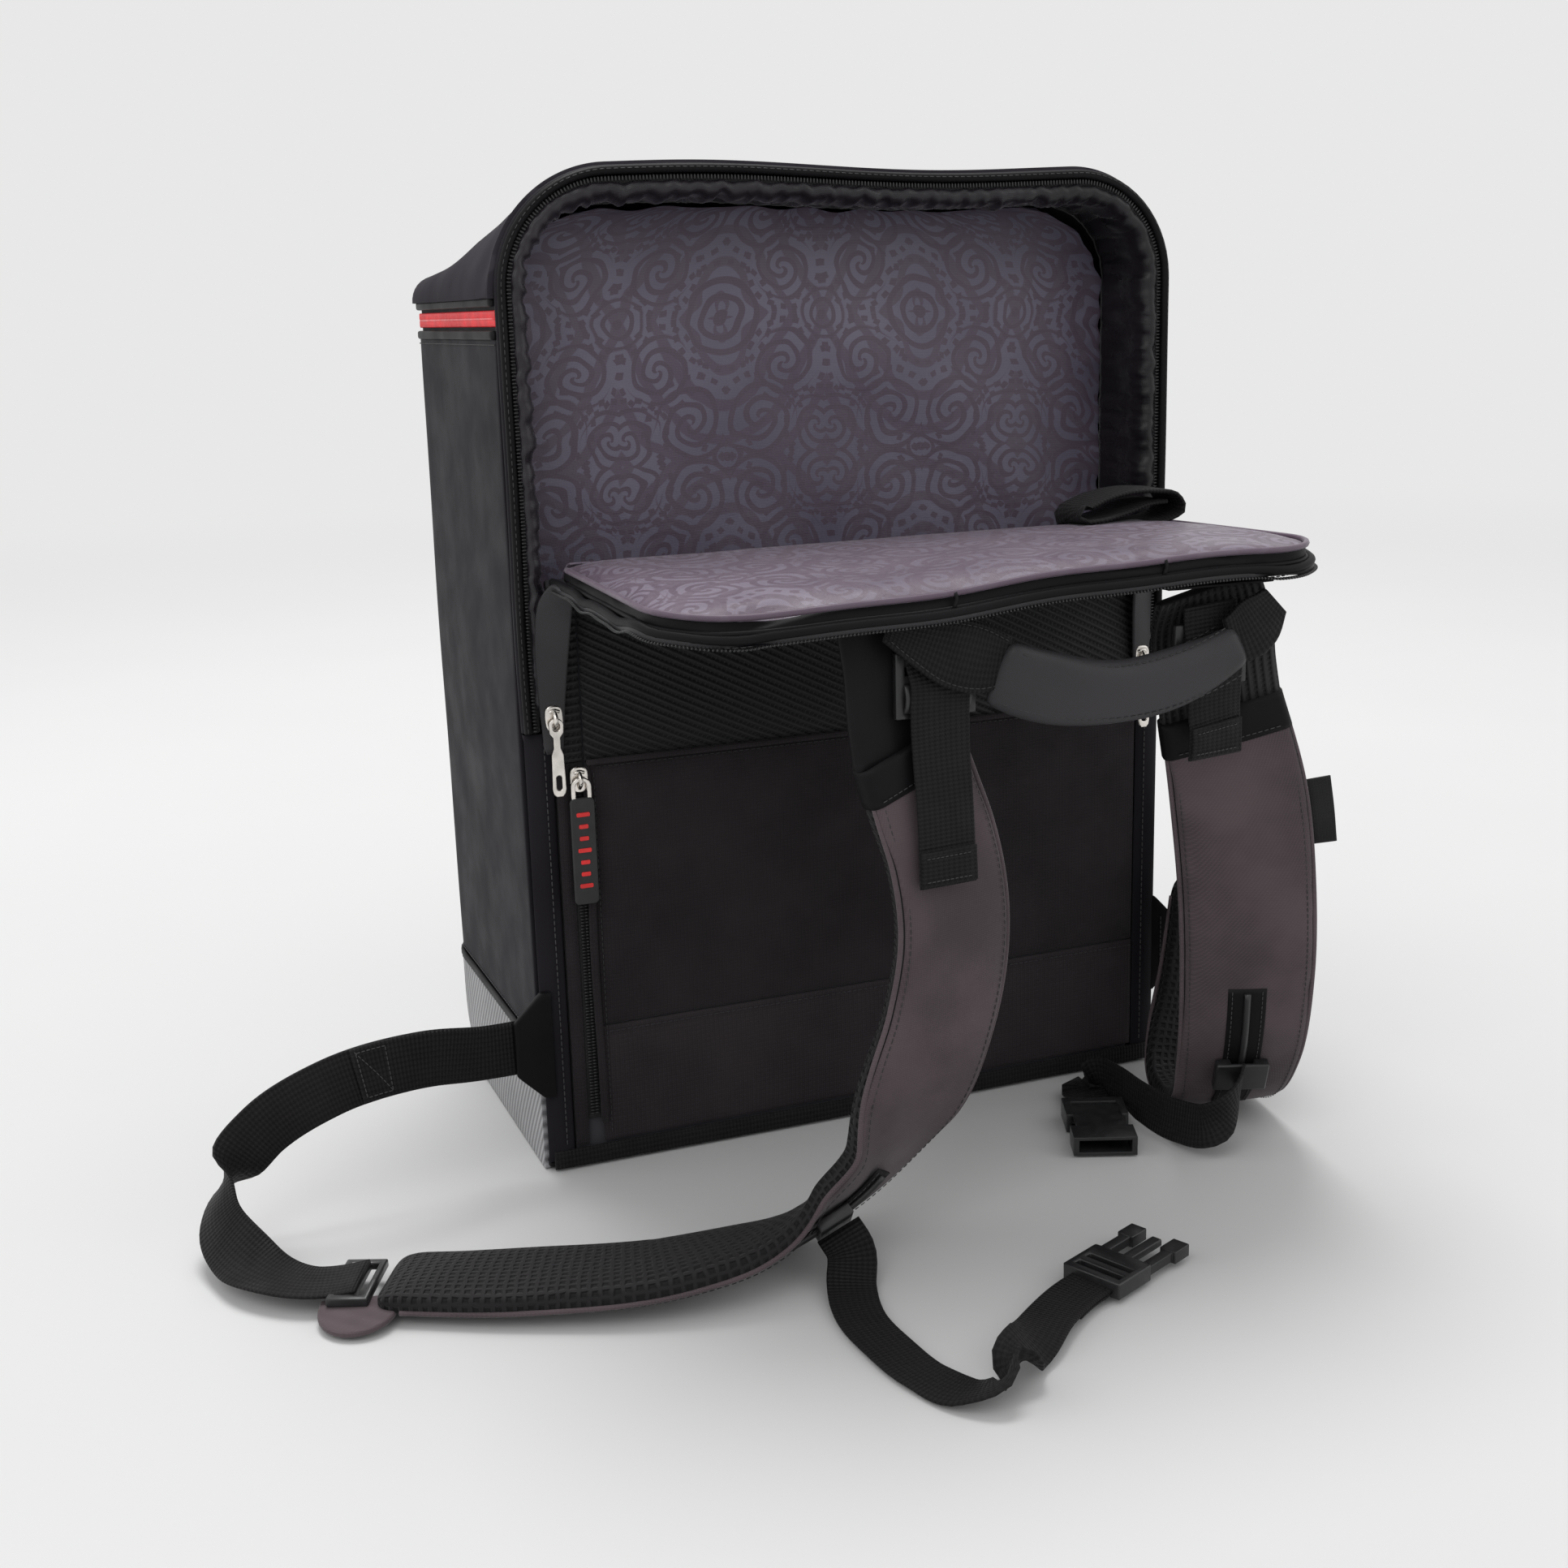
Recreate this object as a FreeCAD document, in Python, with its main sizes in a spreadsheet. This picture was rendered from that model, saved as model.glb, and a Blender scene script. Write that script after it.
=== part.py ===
import FreeCAD, Part

import math
import os

import Sketcher
from FreeCAD import Vector

# A boxy backpack that stands on its flat base, its rear opening unzipped and folded down.
# Frame: origin at the middle of the base, on the floor. +X is to the right for a person
# who faces the back panel, -Y points out of the back panel, +Z is up.

doc = FreeCAD.newDocument("backpack")

# ---------------------------------------------------------------- driving dimensions, mm
SIZES = [
    ("bag_width", 320, "outside width of the shell"),
    ("bag_depth", 172, "outside depth of the shell"),
    ("bag_height", 438, "top of the rim above the floor"),
    ("fold_height", 268, "height of the line that the rear flap folds on"),
    ("boot_height", 58, "height of the grey boot at the bottom"),
    ("toe_radius", 38, "round of the lower front edge"),
    ("wall", 3, "sewn wall: outer fabric, foam and lining"),
    ("running_gap", 0.4, "clearance between pieces that move past each other"),
    ("red_zip_height", 379, "middle of the red zip"),
    ("red_zip_band", 16, "height of the red zip's tape"),
    ("red_coil", 6, "height of the red coil"),
    ("rim_radius", 50, "outer corner radius of the rear opening"),
    ("piping_size", 8, "diameter of the piping round the opening"),
    ("rim_start", 205, "height where the main zip starts"),
    ("chain_width", 3.4, "width of one half of the main zip's coil"),
    ("chain_depth", 3, "depth of the coil"),
    ("board_thickness", 8, "stiffened foam behind the back panel"),
    ("base_board", 3, "thickness of the board in the bottom"),
    ("skin", 3, "back panel skins"),
    ("mesh_thickness", 5, "spacer mesh band"),
    ("mesh_height", 76, "height of the mesh band"),
    ("lumbar_height", 66, "height of the seam over the lower panel"),
    ("fold_roll", 2, "radius of the bound edge that the flap folds on"),
    ("divider_depth", 38, "back plane to the padded divider"),
    ("divider_thickness", 6, "padded divider"),
    ("gusset_inset", 7, "outside of the shell to the puckered lining"),
    ("lining_clearance", 1.1, "linings to the slope of the hood"),
    ("lining", 1.5, "lining fabric with its puckers"),
    ("flap_skin", 3, "outer layer of the flap"),
    ("flap_foam", 8, "padding of the flap"),
    ("flap_margin", 6, "how far the outer layer stands past the padding"),
    ("strap_width", 62, "shoulder strap at its widest"),
    ("strap_end_width", 44, "shoulder strap at its lower end"),
    ("strap_thickness", 12, "shoulder strap padding"),
    ("neck_width", 50, "coated neck of a shoulder strap"),
    ("neck_thickness", 6, "thickness of that neck"),
    ("patch_thickness", 1.2, "patches sewn on the flap"),
    ("handle_height", 27, "height of the handle's sleeve"),
    ("handle_thickness", 7, "thickness of the handle's sleeve"),
    ("webbing_width", 25, "lower webbing and load lifters"),
    ("webbing_thickness", 1.6, "thickness of all webbing"),
    ("chest_webbing", 20, "width of the sternum webbing"),
    ("slider_width", 9, "width of a zip slider's body"),
    ("pull_thickness", 1.6, "thickness of a zip pull"),
    ("buckle_width", 27, "width of the side release buckle"),
    ("buckle_thickness", 9, "thickness of the side release buckle"),
]
sheet = doc.addObject("Spreadsheet::Sheet", "sizes")
for row, (name, value, note) in enumerate(SIZES, start=1):
    sheet.set(f"A{row}", note)
    sheet.set(f"B{row}", str(value))
    sheet.setAlias(f"B{row}", name)
doc.recompute()


def size(name):
    """One size of the sheet, as a plain number."""
    return float(getattr(sheet, name))


def bind(thing, prop, formula):
    """Ties a property to the sheet; a word in braces is a size."""
    for name, _, _ in SIZES:
        formula = formula.replace("{" + name + "}", "sizes." + name)
    thing.setExpression(prop, formula)


# ---------------------------------------------------------------- helpers
pieces = []


def keep(thing, label):
    """Marks an object as one of the sub-parts, under its own name."""
    thing.Label = label
    pieces.append(thing)
    return thing


def box(name, spans, label=None):
    """A box between bound limits: spans holds (low, high) formulas for X, Y and Z."""
    thing = doc.addObject("Part::Box", name)
    for axis, prop, (low, high) in zip("xyz", ("Length", "Width", "Height"), spans):
        bind(thing, prop, f"({high}) - ({low})")
        bind(thing, f"Placement.Base.{axis}", f"{low}")
    return keep(thing, label) if label else thing


def feature(label, shape):
    """A sub-part made with Part's own functions, from the sheet's values."""
    thing = doc.addObject("Part::Feature", label)
    thing.Shape = shape
    return keep(thing, label)


def origin_plane(body, role):
    return next(p for p in body.Origin.OriginFeatures if p.Role == role)


def rectangle(body, role, name, spans, lift="0 mm"):
    """A sketched rectangle whose sides are bound to the sheet."""
    sketch = body.newObject("Sketcher::SketchObject", name)
    sketch.AttachmentSupport = [(origin_plane(body, role), "")]
    sketch.MapMode = "FlatFace"
    corners = [Vector(-10, -10, 0), Vector(10, -10, 0), Vector(10, 10, 0), Vector(-10, 10, 0)]
    for a, b in zip(corners, corners[1:] + corners[:1]):
        sketch.addGeometry(Part.LineSegment(a, b))
    for i in range(4):
        sketch.addConstraint(Sketcher.Constraint("Coincident", i, 2, (i + 1) % 4, 1))
    sketch.addConstraint(Sketcher.Constraint("Horizontal", 0))
    sketch.addConstraint(Sketcher.Constraint("Vertical", 1))
    sketch.addConstraint(Sketcher.Constraint("Horizontal", 2))
    sketch.addConstraint(Sketcher.Constraint("Vertical", 3))
    places = (("DistanceX", 0, 1, 0), ("DistanceX", 0, 2, 1), ("DistanceY", 0, 1, 2), ("DistanceY", 2, 1, 3))
    for kind, line, point, which in places:
        start = 10.0 if which in (1, 3) else -10.0
        index = sketch.addConstraint(Sketcher.Constraint(kind, -1, 1, line, point, start))
        bind(sketch, f"Constraints[{index}]", spans[which // 2][which % 2])
    bind(sketch, "AttachmentOffset.Base.z", lift)
    return sketch


def pad(body, sketch, length):
    thing = body.newObject("PartDesign::Pad", sketch.Name + "_pad")
    thing.Profile = sketch
    bind(thing, "Length", length)
    doc.recompute()
    return thing


def edges_along(shape, direction, test):
    """Names of straight edges along a direction whose middle passes a test."""
    names = []
    for number, edge in enumerate(shape.Edges, start=1):
        if not isinstance(edge.Curve, Part.Line):
            continue
        if abs(abs(edge.Curve.Direction.dot(direction)) - 1) < 1e-6 and test(edge.CenterOfMass):
            names.append(f"Edge{number}")
    return names


def round_edges(body, base, names, radius):
    thing = body.newObject("PartDesign::Fillet", base.Name + "_round")
    thing.Base = (base, names)
    bind(thing, "Radius", radius)
    doc.recompute()
    return thing


def rounded_plate(label, role, spans, lift, length, direction, test, radius):
    """A plate with some of its corners rounded."""
    body = doc.addObject("PartDesign::Body", label + "_body")
    base = pad(body, rectangle(body, role, label + "_outline", spans, lift), length)
    round_edges(body, base, edges_along(base.Shape, direction, test), radius)
    return keep(body, label)


def arch_edges(half, low, top, radius, y):
    """An upside-down U at one depth: up the left, over the top, down the right."""
    mid = radius * math.sqrt(0.5)
    lift = top - radius
    left, right = Vector(-half, y, lift), Vector(half, y, lift)
    over_left, over_right = Vector(radius - half, y, top), Vector(half - radius, y, top)
    return [
        Part.LineSegment(Vector(-half, y, low), left).toShape(),
        Part.Arc(left, Vector(radius - half - mid, y, lift + mid), over_left).toShape(),
        Part.LineSegment(over_left, over_right).toShape(),
        Part.Arc(over_right, Vector(half - radius + mid, y, lift + mid), right).toShape(),
        Part.LineSegment(right, Vector(half, y, low)).toShape(),
    ]


def arch_face(half, low, top, radius, y):
    """The area under an arch."""
    edges = arch_edges(half, low, top, radius, y)
    edges.append(Part.LineSegment(Vector(half, y, low), Vector(-half, y, low)).toShape())
    return Part.Face(Part.Wire(edges))


def arch_band(half, low, top, radius, thickness, y0, y1):
    """A strip of even thickness that follows an arch, from depth y0 to depth y1."""
    outer = arch_face(half, low, top, radius, y0)
    inner = arch_face(half - thickness, low, top - thickness, radius - thickness, y0)
    return outer.cut(inner).extrude(Vector(0, y1 - y0, 0))


def section(point, across, along, width, thickness):
    """A rectangle square to the direction that a band runs in."""
    along = Vector(along).normalize()
    across = Vector(across)
    across = (across - along * across.dot(along)).normalize()
    normal = along.cross(across)
    corners = []
    for a, b in ((-1, -1), (1, -1), (1, 1), (-1, 1)):
        corners.append(point + across * (a * width / 2) + normal * (b * thickness / 2))
    return Part.makePolygon(corners + corners[:1])


def band(stations, thickness):
    """A flat strap through stations of (point, width direction, width)."""
    points = [Vector(*s[0]) for s in stations]
    wires = []
    for i, (_, across, width) in enumerate(stations):
        along = points[min(i + 1, len(points) - 1)] - points[max(i - 1, 0)]
        wires.append(section(points[i], Vector(*across), along, width, thickness))
    return Part.makeLoft(wires, True, True)


def block(low, high):
    """A plain box between two corners."""
    spans = [b - a for a, b in zip(low, high)]
    return Part.makeBox(*spans, Vector(*low))


def frame_block(low, high, slots):
    """A block with slots right through its thickness."""
    shape = block(low, high)
    for slot_low, slot_high in slots:
        shape = shape.cut(block(slot_low, slot_high))
    return shape


# ---------------------------------------------------------------- shared places
half_width = size("bag_width") / 2
back = -size("bag_depth") / 2
front = size("bag_depth") / 2
gap = size("running_gap")
wall = size("wall")
fold = size("fold_height")
webbing = size("webbing_thickness")

BACK = "-{bag_depth} / 2"
FRONT = "{bag_depth} / 2"
RIGHT = "{bag_width} / 2"
LEFT = "-{bag_width} / 2"
PANEL_BACK = "-{bag_depth} / 2 + {piping_size} / 2 + 1"
RED_LOW = "{red_zip_height} - {red_zip_band} / 2"
RED_HIGH = "{red_zip_height} + {red_zip_band} / 2"


# ---------------------------------------------------------------- shell
def toe_block(inset, y0, top):
    """The solid inside the boot's outline, brought in by a wall."""
    r = size("toe_radius") - inset
    y1 = front - inset
    half = half_width - inset
    mid = r * (1 - math.sqrt(0.5))
    toe, heel = Vector(-half, y1 - r, inset), Vector(-half, y1, inset + r)
    edges = [
        Part.LineSegment(Vector(-half, y0, inset), toe).toShape(),
        Part.Arc(toe, Vector(-half, y1 - mid, inset + mid), heel).toShape(),
        Part.LineSegment(heel, Vector(-half, y1, top)).toShape(),
        Part.LineSegment(Vector(-half, y1, top), Vector(-half, y0, top)).toShape(),
        Part.LineSegment(Vector(-half, y0, top), Vector(-half, y0, inset)).toShape(),
    ]
    return Part.Face(Part.Wire(edges)).extrude(Vector(2 * half, 0, 0))


def base_boot():
    """Grey tray at the bottom, open above and behind, with a round lower front edge."""
    height = size("boot_height")
    return feature("base_boot", toe_block(0, back, height).cut(toe_block(wall, back - 1, height + 1)))


def hood():
    """Sloping top: a high round arch at the rim that falls to a low one at the front."""
    y0 = back + size("piping_size") / 2 + 1
    y1 = front
    low = size("red_zip_height") + size("red_zip_band") / 2
    top = size("bag_height") - 1
    nose = low + 9
    nose_radius = 7
    radius = min(size("rim_radius"), top - low - 2)
    rear = Part.Wire(arch_face(half_width, low, top, radius, y0).OuterWire)
    tip = Part.Wire(arch_face(half_width, low, nose, nose_radius, y1).OuterWire)
    outer = Part.makeLoft([rear, tip], True, True)
    inset = arch_face(half_width - wall, low - 1, top - wall, radius - wall, y0 - 1)
    reach = y1 - wall
    tail = arch_face(half_width - wall, low - 1, nose - wall, nose_radius - wall, reach)
    inner = Part.makeLoft([inset.OuterWire, tail.OuterWire], True, True)
    return feature("hood", outer.cut(inner))


def rim():
    """Piping round the rear opening and the shell's half of the main zip inside it."""
    r = size("piping_size") / 2
    half = half_width - r - 0.5
    top = size("bag_height") - r
    path = Part.Wire(arch_edges(half, size("rim_start"), top, size("rim_radius") - r, back))
    circle = Part.Wire(Part.makeCircle(r, Vector(-half, back, size("rim_start")), Vector(0, 0, 1)))
    feature("rim_piping", path.makePipeShell([circle], True, False))
    chain_half = half - r - 0.3
    chain_top = top - r - 0.3
    radius = size("rim_radius") - 2 * r - 0.8
    y0 = back - size("chain_depth") + 1
    band_shape = arch_band(
        chain_half, size("rim_start"), chain_top, radius, size("chain_width"), y0, y0 + size("chain_depth")
    )
    feature("rim_zip_chain", band_shape)
    return chain_half, chain_top


def shell():
    base_boot()
    inside = "{bag_width} / 2 - {wall}"
    box(
        "base_board_box",
        (
            ("-({bag_width} / 2 - {wall} - 1)", inside + " - 1"),
            (BACK + " + {skin} + 1", "{bag_depth} / 2 - {toe_radius}"),
            ("{wall}", "{wall} + {base_board}"),
        ),
        "base_board",
    )
    for name, low, high in (("left", LEFT, LEFT + " + {wall}"), ("right", RIGHT + " - {wall}", RIGHT)):
        spans = ((low, high), (PANEL_BACK, FRONT), ("{boot_height}", RED_LOW))
        box(f"side_{name}", spans, f"side_panel_{name}")
    spans = (("-(" + inside + ")", inside), ("{bag_depth} / 2 - {wall}", FRONT), ("{boot_height}", RED_LOW))
    box("front_box", spans, "front_panel")
    hood()


def red_zip():
    """Tape and coil of the red zip, which run round both sides and the front."""
    low = size("red_zip_height") - size("red_zip_band") / 2
    y0 = back + size("piping_size") / 2 + 1

    def u_band(inset, thickness, z0, z1):
        outer = block((inset - half_width, y0, z0), (half_width - inset, front - inset, z1))
        cut = inset + thickness
        return outer.cut(block((cut - half_width, y0 - 1, z0), (half_width - cut, front - cut, z1)))

    feature("red_zip_tape", u_band(1, wall - 1, low, low + size("red_zip_band")))
    coil = size("red_coil")
    middle = size("red_zip_height")
    feature("red_zip_chain", u_band(0, 1, middle - coil / 2, middle + coil / 2))


def linings():
    """The padded divider, and the puckered strip between it and the rim."""
    inner = "{bag_width} / 2 - {gusset_inset}"
    slope = (
        "({bag_height} - {red_zip_height} - {red_zip_band} / 2 - 10)"
        " * ({divider_depth} + {divider_thickness} - {piping_size} / 2)"
        " / ({bag_depth} - {wall} - {piping_size} / 2)"
    )
    divider = rounded_plate(
        "divider_panel",
        "XZ_Plane",
        (
            ("-(" + inner + ")", inner),
            ("{wall} + {base_board}", "{bag_height} - 1 - {wall} - " + slope + " - {lining_clearance}"),
        ),
        "{bag_depth} / 2 - {divider_depth} - {divider_thickness}",
        "{divider_thickness}",
        Vector(0, 1, 0),
        lambda c: c.z > fold,
        "{rim_radius} - {gusset_inset}",
    )
    half = half_width - size("gusset_inset")
    radius = size("rim_radius") - size("gusset_inset")
    y0 = back + size("piping_size") / 2 + 1
    y1 = back + size("divider_depth")
    bounds = divider.Shape.BoundBox
    feature("gusset_lining", arch_band(half, bounds.ZMin, bounds.ZMax, radius, size("lining"), y0, y1))


def back_panel():
    """The fixed lower part of the back: foam board, mesh band, pocket and lower panel."""
    inside = "({bag_width} / 2 - {piping_size} - {chain_width} - 3)"
    y_out = BACK + " + {skin}"
    board = "{fold_height} - {piping_size} / 2 - 0.5"
    box(
        "board_box",
        (("-" + inside, inside), (y_out, y_out + " + {board_thickness}"), ("{wall} + {base_board}", board)),
        "back_board",
    )
    side = "({bag_width} / 2 - {piping_size} - {chain_width} - 2)"
    mesh_low = "{fold_height} - {fold_roll} - {mesh_height}"
    box(
        "mesh_box",
        (("-" + side, side), (y_out + " - {mesh_thickness}", y_out), (mesh_low, "{fold_height} - {fold_roll} - {running_gap}")),
        "mesh_band",
    )
    zip_x = "-" + side + " + 14"
    pocket = (zip_x, side), (BACK, y_out), ("{lumbar_height} + 0.5", mesh_low + " - 0.5")
    box("pocket_box", pocket, "pocket_panel")
    box("lumbar_box", ((zip_x, side), (BACK, y_out), ("10", "{lumbar_height}")), "lumbar_panel")
    coil = ("-" + side + " + 7.5", "-" + side + " + 12.5")
    box("pocket_coil", (coil, (BACK, y_out), ("24", mesh_low + " - 0.5")), "pocket_zip_chain")
    strips = [
        (("-" + side, "-" + side + " + 6.5"), (BACK, y_out), ("10", mesh_low + " - 0.5")),
    ]
    for sign_low, sign_high in (("-{bag_width} / 2", "-" + side + " - 0.5"), (side + " + 0.5", "{bag_width} / 2")):
        strips.append(((sign_low, sign_high), (BACK, PANEL_BACK), ("{boot_height}", "{rim_start} - 12")))
    fuse = doc.addObject("Part::Compound", "edge_strips_group")
    fuse.Links = [box(f"edge_strip_{i}", spans) for i, spans in enumerate(strips)]
    keep(fuse, "edge_strips")
    width = "({bag_width} / 2 - 8)"
    box("binding_box", (("-" + width, width), (BACK + " - 1.2", BACK), ("1", "9")), "bottom_binding")
    roll = doc.addObject("Part::Cylinder", "fold_roll")
    bind(roll, "Radius", "{fold_roll}")
    bind(roll, "Height", "2 * " + side)
    roll.Placement = FreeCAD.Placement(Vector(0, 0, 0), FreeCAD.Rotation(Vector(0, 1, 0), 90))
    bind(roll, "Placement.Base.x", "-" + side)
    bind(roll, "Placement.Base.y", BACK)
    bind(roll, "Placement.Base.z", "{fold_height}")
    keep(roll, "fold_binding")


# ---------------------------------------------------------------- flap
def flap(chain_half, chain_top):
    """The upper back panel, folded out level, its lining on top."""
    reach = chain_top - size("chain_width") - 1 - fold
    half = chain_half - size("chain_width") - 1
    edge = "({bag_width} / 2 - {piping_size} - {chain_width} - 1.8)"
    out = "(-{bag_depth} / 2 - ({bag_height} - {piping_size} - {chain_width} - 1.3 - {fold_height}))"
    rounded_plate(
        "flap_cover",
        "XY_Plane",
        (("-" + edge, edge), (out, "-{bag_depth} / 2 - {fold_roll} - {running_gap}")),
        "{fold_height}",
        "{flap_skin}",
        Vector(0, 0, 1),
        lambda c: c.y < back - reach / 2,
        "{rim_radius} - {piping_size}",
    )
    pad_edge = "(" + edge + " - {flap_margin})"
    rounded_plate(
        "flap_pad",
        "XY_Plane",
        (("-" + pad_edge, pad_edge), (out + " + {flap_margin}", "-{bag_depth} / 2 - {flap_foam} - 6")),
        "{fold_height} + {flap_skin}",
        "{flap_foam}",
        Vector(0, 0, 1),
        lambda c: c.y < back - reach / 2,
        "{rim_radius} - {piping_size} - {flap_margin}",
    )
    radius = size("rim_radius") - size("piping_size")
    outer = arch_face(half, 20, reach, radius, 0)
    width = size("chain_width")
    inner = arch_face(half - width, 20, reach - width, radius - width, 0)
    chain = outer.cut(inner).extrude(Vector(0, 1.6, 0))
    chain.rotate(Vector(0, 0, 0), Vector(1, 0, 0), 90)
    chain.translate(Vector(0, back, fold - 1.6))
    feature("flap_zip_chain", chain)
    patch = size("patch_thickness")
    shapes = []
    for x in (LEFT_ROOT[0], RIGHT_ROOT[0]):
        low = (x - size("neck_width") / 2, LEFT_ROOT[1] - 10, fold - patch)
        high = (x + size("neck_width") / 2, LEFT_ROOT[1] + 34, fold)
        shapes.append(block(low, high))
    feature("strap_root_patches", Part.makeCompound(shapes))


def stow_strap():
    """Hook and loop tie on the lining, folded over itself in two loops."""
    x0, x1 = 84.0, 150.0 - size("flap_margin") - 8
    y = back - 44
    z0 = fold + size("flap_skin") + size("flap_foam") + gap
    rise = 17.0
    t = 2.2
    half = size("webbing_width") / 2
    path = [
        (x0, z0 + t / 2),
        (x1 - 10, z0 + t / 2),
        (x1, z0 + rise / 2),
        (x1 - 10, z0 + rise),
        (x0 + 14, z0 + rise - 3),
        (x0 + 2, z0 + rise - 9),
    ]
    stations = [((x, y, z), (0, 1, 0), 2 * half) for x, z in path]
    return feature("stow_strap", band(stations, t))


# ---------------------------------------------------------------- shoulder straps
def behind(rows):
    """Stations whose y is measured from the back plane, away from the bag."""
    return [((x, back + y, z), across) for (x, y, z), across in rows]


LEFT_ROOT = (-46.0, back - 136.0)
RIGHT_ROOT = (94.0, back - 136.0)
UPPER_LEFT = behind([
    ((-42, -134.7, 214), (1, 0.2, 0)),
    ((-27, -133.5, 172), (1, 0.22, 0)),
    ((-22, -133.5, 134), (1, 0.2, 0)),
    ((-29, -134.5, 98), (1, 0.2, -0.1)),
    ((-42, -135.5, 68), (1, 0.3, -0.3)),
])
LOWER_LEFT = behind([
    ((-56, -131, 39), (0.62, 0.72, -0.56)),
    ((-80, -130, 26.5), (0.55, 0.8, -0.5)),
    ((-108, -131, 16), (0.3, 1, -0.3)),
    ((-140, -129, 12), (0.15, 1, -0.18)),
    ((-196, -110, 8.5), (0.1, 1, -0.05)),
    ((-252, -84, 7.5), (0.35, 1, 0)),
])
RIGHT_PATH = behind([
    ((105, -130, 214), (1, -0.3, 0)),
    ((118, -127, 172), (1, -0.45, 0)),
    ((127, -122, 130), (1, -0.5, 0)),
    ((135, -113, 84), (1, -0.5, 0)),
    ((141, -100, 42), (1, -0.4, 0)),
    ((146, -84, 17), (1, -0.25, 0)),
    ((151, -64, 8), (1, -0.15, 0)),
    ((156, -44, 11), (1, -0.1, 0)),
    ((163, -31, 28), (1, 0, 0)),
    ((171, -25, 62), (1, 0, 0)),
    ((176, -24, 104), (1, 0, 0)),
])


def tapered(path, first, last):
    """Adds a width to each station, from one end's width to the other's."""
    count = len(path) - 1
    return [(p, a, first + (last - first) * i / count) for i, (p, a) in enumerate(path)]


def direction(path, index):
    """Unit vector along a path of stations at one of them."""
    points = [Vector(*p) for p, _ in path]
    step = points[min(index + 1, len(points) - 1)] - points[max(index - 1, 0)]
    return step.normalize()


def mounted(shape, path, index, shift=0.0, lift=0.0):
    """Sets a shape, made with X along the strap and Z out of its face, at a station."""
    point, across = path[index]
    along = direction(path, index)
    across = Vector(*across)
    across = (across - along * across.dot(along)).normalize()
    normal = along.cross(across)
    rotation = FreeCAD.Rotation(along, across, normal, "XYZ")
    shape.Placement = FreeCAD.Placement(Vector(*point) + along * shift + normal * lift, rotation)
    return shape


def neck(label, root_x, path):
    """Coated neck between the flap and the top of a strap's padding."""
    first, across = path[0]
    along = direction(path, 0)
    end = Vector(*first) - along * (2 * gap)
    width = size("neck_width")
    top = Vector(root_x, LEFT_ROOT[1], fold - size("patch_thickness") - gap)
    stations = [
        (top, (1, 0, 0), width),
        (top - Vector(0, 0, 2), (1, 0, 0), width),
        (top - Vector(0, 0, 16), (1, 0, 0), width),
        (end - along * 12, across, width + 2),
        (end, across, width + 4),
    ]
    return feature(label, band(stations, size("neck_thickness")))


def straps():
    widest = size("strap_width")
    narrow = size("strap_end_width")
    thick = size("strap_thickness")
    feature("strap_left_upper_pad", band(tapered(UPPER_LEFT, widest - 8, widest), thick))
    feature("strap_left_lower_pad", band(tapered(LOWER_LEFT, widest - 2, narrow), thick))
    feature("strap_right_pad", band(tapered(RIGHT_PATH, widest, narrow), thick))
    neck("strap_left_neck", LEFT_ROOT[0], UPPER_LEFT)
    neck("strap_right_neck", RIGHT_ROOT[0], RIGHT_PATH)
    for label, path in (("strap_left_lock", LOWER_LEFT), ("strap_right_lock", RIGHT_PATH)):
        feature(label, mounted(strap_lock(), path, len(path) - 1, gap + 5))


def lifters():
    """Load lifters: a ladder lock and its webbing on the front of each strap's neck."""
    half = size("webbing_width") / 2
    face = LEFT_ROOT[1] - size("neck_thickness") / 2 - gap
    for side, (x, y), across in (("left", (-32, face), (1, 0, 0)), ("right", (92, face), (1, 0, 0))):
        wide = half + 4.5
        top = fold - 16
        low, high = (x - wide, y - 3.4, top - 26), (x + wide, y, top)
        slots = []
        for z in (top - 9, top - 16, top - 23):
            slots.append(((x - half - 0.6, y - 4, z), (x + half + 0.6, y + 1, z + 3.4)))
        feature(f"lifter_buckle_{side}", frame_block(low, high, slots))
        tail_y = y - 3.4 - gap - webbing / 2
        tail_low = 158 if side == "left" else 196
        lean = -2 if side == "left" else 2
        path = [(x, tail_y, top - 4), (x, tail_y, top - 30), (x + 3, tail_y + lean, tail_low)]
        stations = [(p, across, 2 * half) for p in path]
        feature(f"lifter_webbing_{side}", band(stations, webbing))


# ---------------------------------------------------------------- handle
HANDLE_Y = back - 149.0
HANDLE_ENDS = (-56.0, 118.0)
SLEEVE_ENDS = (-12.0, 104.0)


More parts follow.
